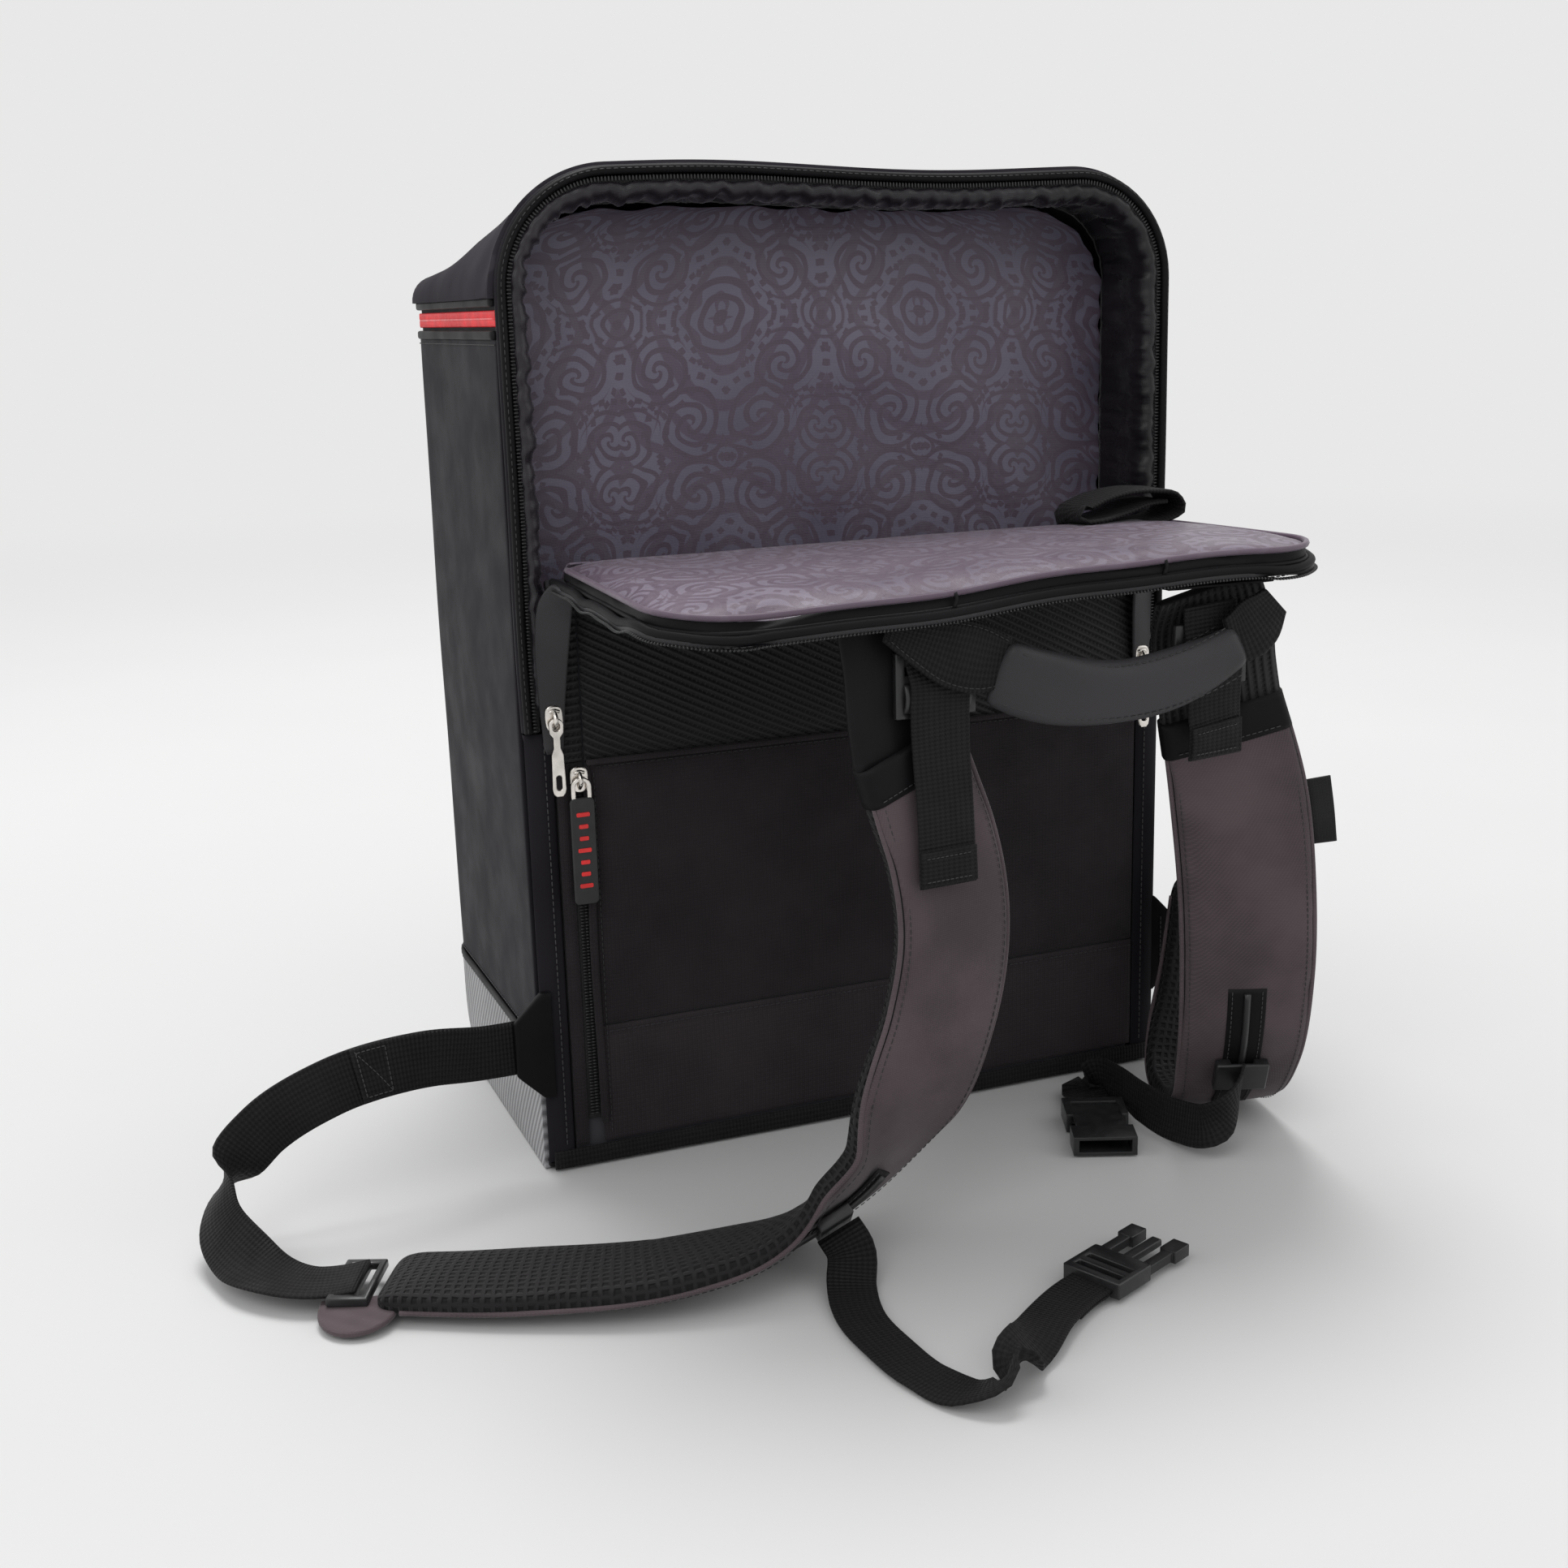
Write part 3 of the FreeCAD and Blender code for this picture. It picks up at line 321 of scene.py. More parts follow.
def plastic(name, colour=(0.011, 0.011, 0.012), rough=0.34):
    s = Shade(name, Specular_IOR_Level=0.5)
    s.put("Base Color", colour_pair(s, colour, lighter(colour, 1.4), 60.0, 0.18))
    s.put("Roughness", s.step(s.noise(240.0, 3.0), 0.3, 0.7, rough - 0.06, rough + 0.1))
    s.bump(s.noise(2600.0, 2.0), 0.03)
    return s.mat


def metal(name, colour=(0.80, 0.76, 0.71), rough=0.2):
    s = Shade(name, metal=1.0)
    s.put("Base Color", s.mix(s.step(s.noise(120.0, 4.0), 0.35, 0.7), colour, lighter(colour, 0.72)))
    s.put("Roughness", s.step(s.noise(320.0, 4.0, stretch=(1.0, 1.0, 0.2)), 0.3, 0.7, rough - 0.06,
                              rough + 0.14))
    s.bump(s.noise(700.0, 3.0), 0.03)
    return s.mat


def nylon(name, colour, rough=0.45, coat=0.0):
    s = Shade(name, Specular_IOR_Level=0.5, Coat_Weight=coat, Coat_Roughness=0.25)
    s.put("Base Color", colour_pair(s, colour, lighter(colour, 1.35), 90.0, 0.1))
    s.put("Roughness", s.step(s.noise(300.0), 0.3, 0.7, rough - 0.08, rough + 0.08))
    s.bump(s.noise(1500.0, 2.0), 0.04)
    return s.mat


def twill(name, low, high):
    """Light woven fabric with a slanting rib."""
    s = Shade(name, Sheen_Weight=0.3, Sheen_Roughness=0.4, Specular_IOR_Level=0.5)
    x, y, _ = s.split(s.coords("UV"))
    rib = s.wave(s.plus(s.mul(x, 0.8), s.mul(y, 0.6)), 3.4)
    fine = s.mul(s.wave(x, 0.7), s.wave(y, 0.7))
    base = s.mix(s.plus(s.mul(rib, 0.7), s.mul(fine, 0.3)), low, high)
    s.put("Base Color", s.mix(s.step(s.noise(18.0, 3.0), 0.3, 0.7, 0.0, 0.35), base, low))
    s.put("Roughness", s.step(rib, 0.0, 1.0, 0.6, 0.42))
    s.bump(s.plus(rib, s.mul(fine, 0.4)), 0.45)
    return s.mat


M = {
    "coated": coated("coated_charcoal", (0.0125, 0.0112, 0.0140), (0.0165, 0.0150, 0.0185), spec=0.06),
    # the same charcoal coated fabric, made lighter for the hood, which faces up: painted light from above
    "coated_painted_lit": coated("coated_charcoal_painted_lit_copy", (0.026, 0.0235, 0.0285), (0.036, 0.0325, 0.0390), 0.7,
                         spec=0.03),
    "coated_light": coated("coated_grey", (0.026, 0.025, 0.027), (0.036, 0.034, 0.037), 0.46, spec=0.2),
    "coated_dark": coated("coated_black", (0.0050, 0.0046, 0.0052), (0.0085, 0.0078, 0.0088), 0.5),
    "boot": twill("boot_twill", (0.10, 0.10, 0.105), (0.42, 0.42, 0.44)),
    "cloth": plain_weave("pack_cloth", (0.0105, 0.0086, 0.0100), (0.0175, 0.0145, 0.0165)),
    "cloth_low": plain_weave("lower_cloth", (0.0150, 0.0122, 0.0142), (0.0245, 0.0200, 0.0230), 1.1),
    "strap": strap_cloth("strap_cloth", (0.046, 0.0345, 0.0385), (0.081, 0.0610, 0.0670)),
    "web": webbing_cloth("webbing", (0.0030, 0.0026, 0.0029), (0.0056, 0.0050, 0.0055)),
    "web_light": webbing_cloth("webbing_light", (0.011, 0.0105, 0.011), (0.021, 0.0200, 0.021)),
    "mesh": spacer("spacer_mesh"),
    "mesh_rows": spacer("spacer_mesh_rows", 0.0),
    "air": air_mesh("air_mesh"),
    "lining": satin("lining_satin", (0.086, 0.078, 0.114), (0.128, 0.116, 0.160), (0.070, 0.046, 0.066)),
    # the same ornamented lining satin, made lighter for the flap's upward-facing top: painted light from
    # above
    "lining_painted_lit": satin("lining_satin_painted_lit_copy", (0.105, 0.085, 0.115), (0.155, 0.128, 0.168),
                        (0.072, 0.046, 0.068), 0.42),
    "lining_plain": satin("lining_plain", (0.005, 0.0042, 0.0054), (0.014, 0.0115, 0.0150), (0, 0, 0), 0.26,
                          ornament=False),
    "acetal": plastic("acetal"),
    "nickel": metal("nickel"),
    "coil": nylon("coil_black", (0.008, 0.008, 0.009), 0.38),
    "coil_red": nylon("coil_red", (0.62, 0.008, 0.014), 0.36, 0.3),
    "tape": plain_weave("zip_tape", (0.008, 0.008, 0.009), (0.014, 0.014, 0.015), 0.7),
    "thread": nylon("thread", (0.030, 0.029, 0.031), 0.6),
    "thread_dark": nylon("thread_dark", (0.014, 0.014, 0.015), 0.6),
    "rubber": plastic("rubber_pull", (0.016, 0.016, 0.017), 0.55),
    "red_print": nylon("red_print", (0.62, 0.02, 0.02), 0.5),
    "board": plain_weave("board_cover", (0.020, 0.020, 0.024), (0.034, 0.034, 0.040), 1.0),
}


# ---------------------------------------------------------------- mesh helpers
def make_mesh(name, points, faces, materials, uvs=None, indices=None, smooth=True):
    """An object from points in millimetres; uvs are per face corner, in metres."""
    mesh = bpy.data.meshes.new(name)
    corners = [tuple(p) for p in np.asarray(points, float) * MM]
    mesh.from_pydata(corners, [], [tuple(int(i) for i in f) for f in faces])
    if uvs is not None:
        layer = mesh.uv_layers.new(name="UVMap")
        layer.data.foreach_set("uv", np.asarray(uvs, float).ravel())
    for material in materials if isinstance(materials, (list, tuple)) else [materials]:
        mesh.materials.append(material)
    if indices is not None:
        mesh.polygons.foreach_set("material_index", [int(i) for i in indices])
    mesh.polygons.foreach_set("use_smooth", [smooth] * len(mesh.polygons))
    mesh.update()
    piece = bpy.data.objects.new(name, mesh)
    bpy.context.scene.collection.objects.link(piece)
    return piece


def soften(piece, width=0.6, segments=2):
    """Rounds the sharp edges of a piece."""
    bevel = piece.modifiers.new("round", "BEVEL")
    bevel.width = width * MM
    bevel.segments = segments
    bevel.limit_method = "ANGLE"
    bevel.angle_limit = math.radians(40)
    bevel.harden_normals = False


def place(piece, body, slot, *replaced):
    """Puts a piece on its body; when body is (a, b, start, end), for a piece that crosses a joint, it only
    bakes the transform and leaves the piece on no body.
    """
    if isinstance(body, tuple):
        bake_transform(piece)
    else:
        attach(piece, body)
    if replaced:
        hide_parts(*replaced)
    return piece


def unit(v):
    return v / np.maximum(np.linalg.norm(v, axis=-1, keepdims=True), 1e-9)


def run_of(points):
    """Length along a line at each of its points."""
    return np.concatenate([[0], np.cumsum(np.linalg.norm(np.diff(points, axis=0), axis=1))])


def between(at, lengths, rows):
    """Rows of values, interpolated at other lengths along the same line."""
    return np.column_stack([np.interp(at, lengths, rows[:, c]) for c in range(rows.shape[1])])


def ripple(x, y, scale, seed):
    """A smooth uneven field, mostly between -1 and 1; scale is its wave length."""
    draw = np.random.RandomState(seed)
    total = 0.0
    for _ in range(9):
        angle, phase = draw.uniform(0, math.pi), draw.uniform(0, 2 * math.pi)
        rate = 2 * math.pi / (scale * draw.uniform(0.6, 1.9))
        total = total + np.sin((x * math.cos(angle) + y * math.sin(angle)) * rate + phase)
    return total / 4.0


def spline(rows, step):
    """Evenly spaced rows on a smooth curve through the given ones, and their lengths along it."""
    p = np.asarray(rows, float)
    t = run_of(p[:, :3])
    slope = np.gradient(p, t, axis=0)
    fine = np.concatenate([np.linspace(a, b, 17)[:-1] for a, b in zip(t, t[1:])] + [[t[-1]]])
    i = np.clip(np.searchsorted(t, fine, side="right") - 1, 0, len(t) - 2)
    h = (t[i + 1] - t[i])[:, None]
    s = (fine - t[i])[:, None] / h
    value = (2 * s**3 - 3 * s**2 + 1) * p[i] + (s**3 - 2 * s**2 + s) * h * slope[i]
    value = value + (3 * s**2 - 2 * s**3) * p[i + 1] + (s**3 - s**2) * h * slope[i + 1]
    d = run_of(value[:, :3])
    even = np.linspace(0, d[-1], max(3, int(round(d[-1] / step)) + 1))
    return between(even, d, value), even


class Rail:
    """Frames along a strap: points, directions, across, outward, widths, lengths."""

    def __init__(self, stations, step=4.0):
        rows, self.s = spline([[*p, *a, w] for p, a, w in stations], step)
        self.p = rows[:, :3]
        self.t = unit(np.gradient(self.p, axis=0))
        across = rows[:, 3:6]
        self.a = unit(across - self.t * np.sum(across * self.t, axis=1, keepdims=True))
        self.n = np.cross(self.t, self.a)
        self.w = rows[:, 6]

    def at(self, length, a=0.0, b=0.0):
        """Point, across and outward at a length; the point is moved across by a and outwards by b."""
        point, across, out = (np.array([np.interp(length, self.s, values[:, c]) for c in range(3)]).T
                              for values in (self.p, self.a, self.n))
        point = point + across * np.asarray(a)[..., None] + out * np.asarray(b)[..., None]
        return point, unit(across), unit(out)

    def line(self, lengths, a=0.0, b=0.0):
        """Points on the strap, and their normals."""
        point, _, out = self.at(lengths, a, b)
        return point, out

    def stations(self, rows):
        """Stations for a strip that lies on this strap, from (length, outwards, width)."""
        found = [(*self.at(length, 0.0, b)[:2], width) for length, b, width in rows]
        return [(tuple(p), tuple(across), width) for p, across, width in found]

    def width(self, length):
        return np.interp(length, self.s, self.w)


def oblong(width, thick, radius, cells=1, steps=3, crown=0.0):
    """Outline of a flat strap: (across, out) pairs, counted round from the outer face's left."""
    h, w = thick / 2, width / 2
    r = min(radius, h * 0.98, w * 0.98)
    side = ((h - r, r - h) if h - r > 0.01 else (0,))
    quarter = math.pi / 2

    def corner(x, y, start):
        turns = (start - quarter * k / steps for k in range(1, steps))
        return [(x + r * math.cos(c), y + r * math.sin(c)) for c in turns]

    def face(start, end, sign):
        return [(a, sign * (h + crown * (1 - (a / w) ** 2))) for a in np.linspace(start, end, cells + 1)]

    right, left = [(w, y) for y in side], [(-w, y) for y in side[::-1]]
    return np.array(face(r - w, w - r, 1) + corner(w - r, h - r, quarter) + right + corner(w - r, r - h, 0)
                    + face(w - r, r - w, -1) + corner(r - w, r - h, -quarter) + left
                    + corner(r - w, h - r, math.pi))


def sweep(name, rail, outline, materials, taper=0.0, inner=None):
    """Carries an outline along a rail. outline(width) gives (across, out) pairs.
    taper rounds both ends over that length; inner puts material 1 on the inner face."""
    rings = []
    total = rail.s[-1]
    middle = outline(float(np.median(rail.w)))
    loop = np.vstack([middle, middle[:1]])
    uv_v = run_of(loop)
    mids = (loop[1:, 1] + loop[:-1, 1]) / 2
    for i, length in enumerate(rail.s):
        pts = outline(rail.w[i])
        if taper:
            near = min(length, total - length)
            k = 1.0 if near >= taper else math.sqrt(max(0.0, 1 - (1 - near / taper) ** 2)) * 0.88 + 0.12
            pts = pts * (0.75 + 0.25 * k, k)
        rings.append(rail.p[i] + pts[:, :1] * rail.a[i] + pts[:, 1:] * rail.n[i])
    points, count = np.vstack(rings), len(rings[0])
    faces, uvs, index = [], [], []
    for i in range(len(rings) - 1):
        for j in range(count):
            k = (j + 1) % count
            faces.append((i * count + j, i * count + k, (i + 1) * count + k, (i + 1) * count + j))
            for s, v in ((i, j), (i, j + 1), (i + 1, j + 1), (i + 1, j)):
                uvs.append((rail.s[s] * MM, uv_v[v] * MM))
            index.append(1 if inner is not None and mids[j] < inner else 0)
    for base, order in ((0, -1), ((len(rings) - 1) * count, 1)):
        faces.append([base + j for j in range(count)][::order])
        uvs += [(0.0, 0.0)] * count
        index.append(0)
    piece = make_mesh(name, points, faces, materials, uvs, index)
    fix_normals(piece)
    return piece


def fix_normals(piece):
    bm = bmesh.new()
    bm.from_mesh(piece.data)
    bmesh.ops.recalc_face_normals(bm, faces=bm.faces)
    bm.to_mesh(piece.data)
    bm.free()


def sheet_grid(nu, nv):
    """Quads of an nu by nv grid of points, and its border in order."""
    quads = [(i * nv + j, (i + 1) * nv + j, (i + 1) * nv + j + 1, i * nv + j + 1)
             for i in range(nu - 1) for j in range(nv - 1)]
    border = [i * nv for i in range(nu)] + [(nu - 1) * nv + j for j in range(1, nv)]
    border += [i * nv + nv - 1 for i in range(nu - 2, -1, -1)] + list(range(nv - 2, 0, -1))
    return quads, border


def slab(name, surface, nu, nv, thick, material, bevel=0.8, back=None):
    """A panel from its outer face surface(u, v), with thickness behind it."""
    u, v = np.meshgrid(np.linspace(0, 1, nu), np.linspace(0, 1, nv), indexing="ij")
    outer = surface(u, v)
    normal = unit(np.cross(np.gradient(outer, axis=0), np.gradient(outer, axis=1)))
    inner = outer - normal * thick
    lu = run_of(outer[:, 0])
    lv = np.cumsum(np.linalg.norm(np.diff(outer, axis=1), axis=2), axis=1)
    lv = np.concatenate([np.zeros((nu, 1)), lv], axis=1)
    uv_of = np.column_stack([np.repeat(lu, nv), lv.ravel()]) * MM
    n = nu * nv
    quads, border = sheet_grid(nu, nv)
    faces, index = [], []
    for quad in quads:
        faces += [quad, tuple(n + q for q in quad[::-1])]
        index += [0, 1 if back else 0]
    for a, b in zip(border, border[1:] + border[:1]):
        faces.append((b, a, n + a, n + b))
        index.append(0)
    uvs = [uv_of[q % n] for f in faces for q in f]
    points = np.vstack([outer.reshape(-1, 3), inner.reshape(-1, 3)])
    piece = make_mesh(name, points, faces, [material] + ([back] if back else []), uvs, index)
    fix_normals(piece)
    if bevel:
        soften(piece, bevel)
    return piece


def puff(piece, pressure, cap, frames, pinned=None):
    """Inflates a closed piece with Blender's cloth, each point moving at most cap."""
    cloth = piece.modifiers.new("puff", "CLOTH")
    settings = cloth.settings
    settings.use_pressure = True
    settings.uniform_pressure_force = pressure
    settings.effector_weights.gravity = 0
    settings.tension_stiffness = settings.compression_stiffness = 15.0
    settings.quality = 5
    if pinned is not None:
        group = piece.vertex_groups.new(name="pinned")
        group.add(pinned, 1.0, "REPLACE")
        settings.vertex_group_mass = "pinned"
    cloth.point_cache.frame_start = 1
    cloth.point_cache.frame_end = frames
    rest = np.array([v.co for v in piece.data.vertices])
    for number in range(1, frames + 1):
        bpy.context.scene.frame_set(number)
    shaped = piece.evaluated_get(bpy.context.evaluated_depsgraph_get())
    moved = np.array([v.co for v in shaped.data.vertices]) - rest
    size = np.linalg.norm(moved, axis=1, keepdims=True)
    limit = cap * MM
    moved *= limit * np.tanh(size / limit) / np.maximum(size, 1e-9)
    piece.modifiers.remove(cloth)
    piece.data.vertices.foreach_set("co", (rest + moved).ravel())
    piece.data.update()
    bpy.context.scene.frame_set(1)


def subdivide(piece):
    modifier = piece.modifiers.new("fine", "SUBSURF")
    modifier.levels = modifier.render_levels = 1


def scatter(name, shape, faces, frames, material):
    """Copies a small closed shape onto many frames of (point, x, y, z axes)."""
    shape = np.asarray(shape, float)
    points, all_faces = [], []
    for number, (point, x, y, z) in enumerate(frames):
        points.append(point + shape[:, :1] * x + shape[:, 1:2] * y + shape[:, 2:] * z)
        base = number * len(shape)
        all_faces += [tuple(base + i for i in f) for f in faces]
    return make_mesh(name, np.vstack(points), all_faces, material)


def rings_faces(count, rings):
    """Faces between rings of points, closed at both ends."""
    faces = []
    for i in range(rings - 1):
        for j in range(count):
            k = (j + 1) % count
            faces.append((i * count + j, i * count + k, (i + 1) * count + k, (i + 1) * count + j))
    return faces + [tuple(range(count))[::-1], tuple((rings - 1) * count + j for j in range(count))]


def capsule(length, wide, high, sides=6):
    """A small rounded bar along X."""
    pts = []
    for x, k in ((-0.5, 0.45), (-0.32, 1.0), (0.32, 1.0), (0.5, 0.45)):
        for j in range(sides):
            c = 2 * math.pi * j / sides
            pts.append((x * length, k * wide / 2 * math.cos(c), k * high / 2 * math.sin(c)))
    return pts, rings_faces(sides, 4)


def along(points, normals, pitch, shift=0.0):
    """Frames at even steps on a line: x along it, z the surface's normal."""
    points, normals = np.asarray(points, float), np.asarray(normals, float)
    if normals.ndim == 1:
        normals = np.repeat(normals[None], len(points), 0)
    d = run_of(points)
    even = np.arange(pitch / 2, d[-1], pitch)
    p, n = between(even, d, points), unit(between(even, d, normals))
    x = unit(between(even + 0.2, d, points) - between(even - 0.2, d, points))
    n = unit(n - x * np.sum(n * x, axis=1, keepdims=True))
    y = np.cross(n, x)
    return [(p[i] + n[i] * shift, x[i], y[i], n[i]) for i in range(len(p))]


def stitches(name, lines, body, material="thread", pitch=3.0, length=2.2, thick=0.55, slot="coated_fabric"):
    """Rows of thread: each line is (points, normals)."""
    shape, faces = capsule(length, thick, thick)
    frames_ = [f for points, normals in lines for f in along(points, normals, pitch, 0.12)]
    place(scatter(name, shape, faces, frames_, M[material]), body, slot)


def coil(name, points, normals, body, reach, *replaced, material="coil", shift=0.0):
    """One row of a zip's coil: small turns lying across the line."""
    shape, faces = capsule(reach, 0.95, 1.1)
    frames_ = [(p, y, x, z) for p, x, y, z in along(points, normals, COIL_PITCH, shift)]
    slot = "coil_red" if material == "coil_red" else "coil_black"
    place(scatter(name, shape, faces, frames_, M[material]), body, slot, *replaced)


def tube(name, points, radius, material, sides, step, body, slot, *replaced):
    """A round bead along a smooth line, placed on its body."""
    p, _ = spline(points, step)
    t = unit(np.gradient(p, axis=0))
    ref = np.array([0.0, 0.0, 1.0]) if abs(t[:, 2]).max() < 0.9 else np.array([0.31, 0.9, 0.2])
    a = unit(np.cross(t, ref))
    b = np.cross(t, a)
    turns = (2 * math.pi * j / sides for j in range(sides))
    rings = [p + radius * (a * math.cos(c) + b * math.sin(c)) for c in turns]
    faces = rings_faces(sides, len(p))
    uvs = [(0.0, 0.0)] * sum(len(f) for f in faces)
    piece = make_mesh(name, np.stack(rings, axis=1).reshape(-1, 3), faces, M[material], uvs)
    fix_normals(piece)
    place(piece, body, slot, *replaced)


def strip(name, stations, step, thick, radius, material, body, slot, *replaced, taper=0.0, **shape):
    """A flat strip with rounded edges along stations, placed on its body."""
    rail = Rail(stations, step)
    piece = sweep(name, rail, lambda w: oblong(w, thick, radius, **shape), M[material], taper=taper)
    place(piece, body, slot, *replaced)
    return rail


def rounded_copy(node, width, body):
    """An acetal CAD node's shape with its edges rounded."""
    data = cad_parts[node].data.copy()
    bm = bmesh.new()
    bm.from_mesh(data)
    bmesh.ops.remove_doubles(bm, verts=bm.verts, dist=1e-6)
    bmesh.ops.dissolve_limit(bm, angle_limit=math.radians(4), verts=bm.verts, edges=bm.edges)
    bm.to_mesh(data)
    bm.free()
    data.materials.clear()
    data.materials.append(M["acetal"])
    for polygon in data.polygons:
        polygon.use_smooth = True
        polygon.material_index = 0
    piece = bpy.data.objects.new(node + "_shape", data)
    bpy.context.scene.collection.objects.link(piece)
    soften(piece, width, 3)
    place(piece, body, "acetal", node)


# ---------------------------------------------------------------- camera, floor, light
PALE = 0.807  # the photograph's background, in linear light
FLOOR_HALF = 30000


def camera():
    """The photograph's own view: place, angles and lens."""
    yaw, pitch, roll = math.radians(21.4), math.radians(13.89), math.radians(-1.63)
    forward = Vector((math.sin(yaw) * math.cos(pitch), math.cos(yaw) * math.cos(pitch), -math.sin(pitch)))
    side = Vector((math.cos(yaw), -math.sin(yaw), 0.0))
    rise = side.cross(forward)
    right = side * math.cos(roll) + rise * math.sin(roll)
    up = rise * math.cos(roll) - side * math.sin(roll)
    data = bpy.data.cameras.new("camera")
    data.sensor_width, data.lens = 36.0, 44.04
    data.clip_start, data.clip_end = 0.02, 60.0
    cam = bpy.data.objects.new("camera", data)
    turn = Matrix((right, up, -forward)).transposed().to_4x4()
    cam.matrix_world = Matrix.Translation((-0.35056, -0.879, 0.37942)) @ turn
    bpy.context.scene.collection.objects.link(cam)
    bpy.context.scene.camera = cam


def lamp(name, place_, target, size, power):
    data = bpy.data.lights.new(name, "AREA")
    data.shape, data.size, data.energy = "DISK", size, power
    light = bpy.data.objects.new(name, data)
    light.location = place_
    light.rotation_euler = (Vector(target) - Vector(place_)).to_track_quat("-Z", "Y").to_euler()
    bpy.context.scene.collection.objects.link(light)


def studio():
    """Plain pale floor that glows into the pale surround far away, under broad soft light."""
    s = Shade("floor_paint", rough=1.0, Specular_IOR_Level=0.0)
    x, y, _ = s.split(s.coords())
    away = s.m("SQRT", s.plus(s.mul(x, x), s.mul(y, y)))
    s.put("Emission Color", (PALE, PALE, PALE, 1))
    far = s.step(away, 0.9, 3.2)
    s.put("Emission Strength", far)
    paint = s.mix(s.noise(3.0), (0.54, 0.54, 0.54), (0.56, 0.56, 0.56))
    s.put("Base Color", s.mix(far, paint, (0.0, 0.0, 0.0)))
    corners = [(x * FLOOR_HALF, y * FLOOR_HALF, -0.4) for x, y in ((-1, -1), (1, -1), (1, 1), (-1, 1))]
    make_mesh("floor", corners, [(0, 1, 2, 3)], s.mat)
    world = bpy.data.worlds.new("surround")
    world.use_nodes = True
    world.node_tree.nodes["Background"].inputs[0].default_value = (PALE, PALE, PALE, 1)
    bpy.context.scene.view_settings.view_transform = "Standard"
    bpy.context.scene.world = world
    lamp("key", (-1.3, -1.6, 2.1), (0, 0, 0.2), 1.6, 11)
    lamp("fill", (1.9, -1.5, 1.3), (0, 0, 0.2), 1.8, 6)
    lamp("top", (0.2, 1.2, 4.0), (0, 0, 0.2), 2.2, 128)
    lamp("low", (-1.9, 0.3, 0.9), (-0.1, 0, 0.2), 1.2, 4)


camera()
studio()


# ---------------------------------------------------------------- shell
def hump(t, power=1.0):
    """Rises from 0 at t = 0 to 1 halfway, and back to 0 at t = 1."""
    return np.clip(np.sin(math.pi * np.clip(t, 0, 1)), 0, 1) ** power


def wrap(u, inset=0.0, depth=FRONT):
    """Outline of the shell from above: left side, front, right side. u runs from 0 to 1."""
    return arch(u, HALF - inset, BACK + PIPE + 1, depth - inset, np.maximum(WALL_RADIUS - inset, 0.5))


def wrap_line(z, out=0.0, count=240):
    """The shell's outline at one height, with its outward normals."""
    x, y = wrap(np.linspace(0, 1, count), -out)
    p = np.column_stack([x, y, np.full(count, z)])
    t = unit(np.gradient(p, axis=0))
    return p, np.column_stack([-t[:, 1], t[:, 0], np.zeros(count)])


def shell_wall():
    """Sides and front in one sheet: rounded corners, bellied faces, slight creases."""

    def surface(u, v):
        x, y = wrap(u)
        z = BOOT + (RED_LOW - BOOT) * v
        belly = hump(v, 0.8)
        on_side = np.clip((np.abs(x) - HALF + 6) / 6, 0, 1)
        on_front = np.clip((y - FRONT + 6) / 6, 0, 1)
        flow = ripple(y + x * 0.4, z, 150, 3) * 0.8 + ripple(x - y, z * 0.6, 70, 4) * 0.25
        push = belly * (1.6 + flow)
        x = x + np.sign(x) * on_side * push * hump((y - BACK) / (FRONT - BACK), 0.5)
        y = y + on_front * push * 1.6 * hump((x / HALF + 1) / 2, 0.5)
        return np.stack([x, y, z], axis=-1)

    wall = slab("shell_wall", surface, 200, 60, -SKIN, M["coated"], 0.6, M["lining_plain"])
    place(wall, "bag", "coated_fabric", "side_panel_left", "side_panel_right", "front_panel")
    rows = ((BOOT + 3.2, 0.15), (BOOT - 3.0, 0.7), (RED_LOW - 2.6, 0.35), (RED_HIGH + 2.4, 0.2))
    stitches("shell_stitches", [wrap_line(z, out) for z, out in rows], "bag")


def boot():
    """The grey tray: vertical sides, the round toe in front, a turned edge on top."""
    toe = 38.0

    def surface(u, v):
        z = np.where(v < 0.55, (v / 0.55) ** 1.6 * toe, toe + (v - 0.55) / 0.45 * (BOOT + 0.8 - toe))
        drop = np.clip(toe - z, 0, toe)
        depth = FRONT - toe + np.sqrt(toe**2 - drop**2)
        x, y = wrap(u, -0.6, depth=depth + 0.6)
        return np.stack([x, y, z + 0.15], axis=-1)

    piece = slab("boot", surface, 160, 28, -SKIN, M["boot"], 0.5, M["lining_plain"])
    place(piece, "bag", "boot_fabric", "base_boot")

    def bottom(u, v):
        x = (u - 0.5) * 2 * (HALF - 1.0)
        y = BACK + 2 + v * (FRONT - 36 - BACK)
        z = 0.15 + 1.6 * (np.abs(u - 0.5) * 2) ** 24
        return np.stack([x, y, z], axis=-1)

    place(slab("boot_bottom", bottom, 40, 24, -2.0, M["coated_dark"], 0.4), "bag", "boot_fabric")
    stations = [(q, (0, 0, 1), 4.0) for q in wrap_line(BOOT, 0.9)[0][::6]]
    strip("boot_welt", stations, 5, 1.6, 0.8, "coated_dark", "bag", "coated_fabric")


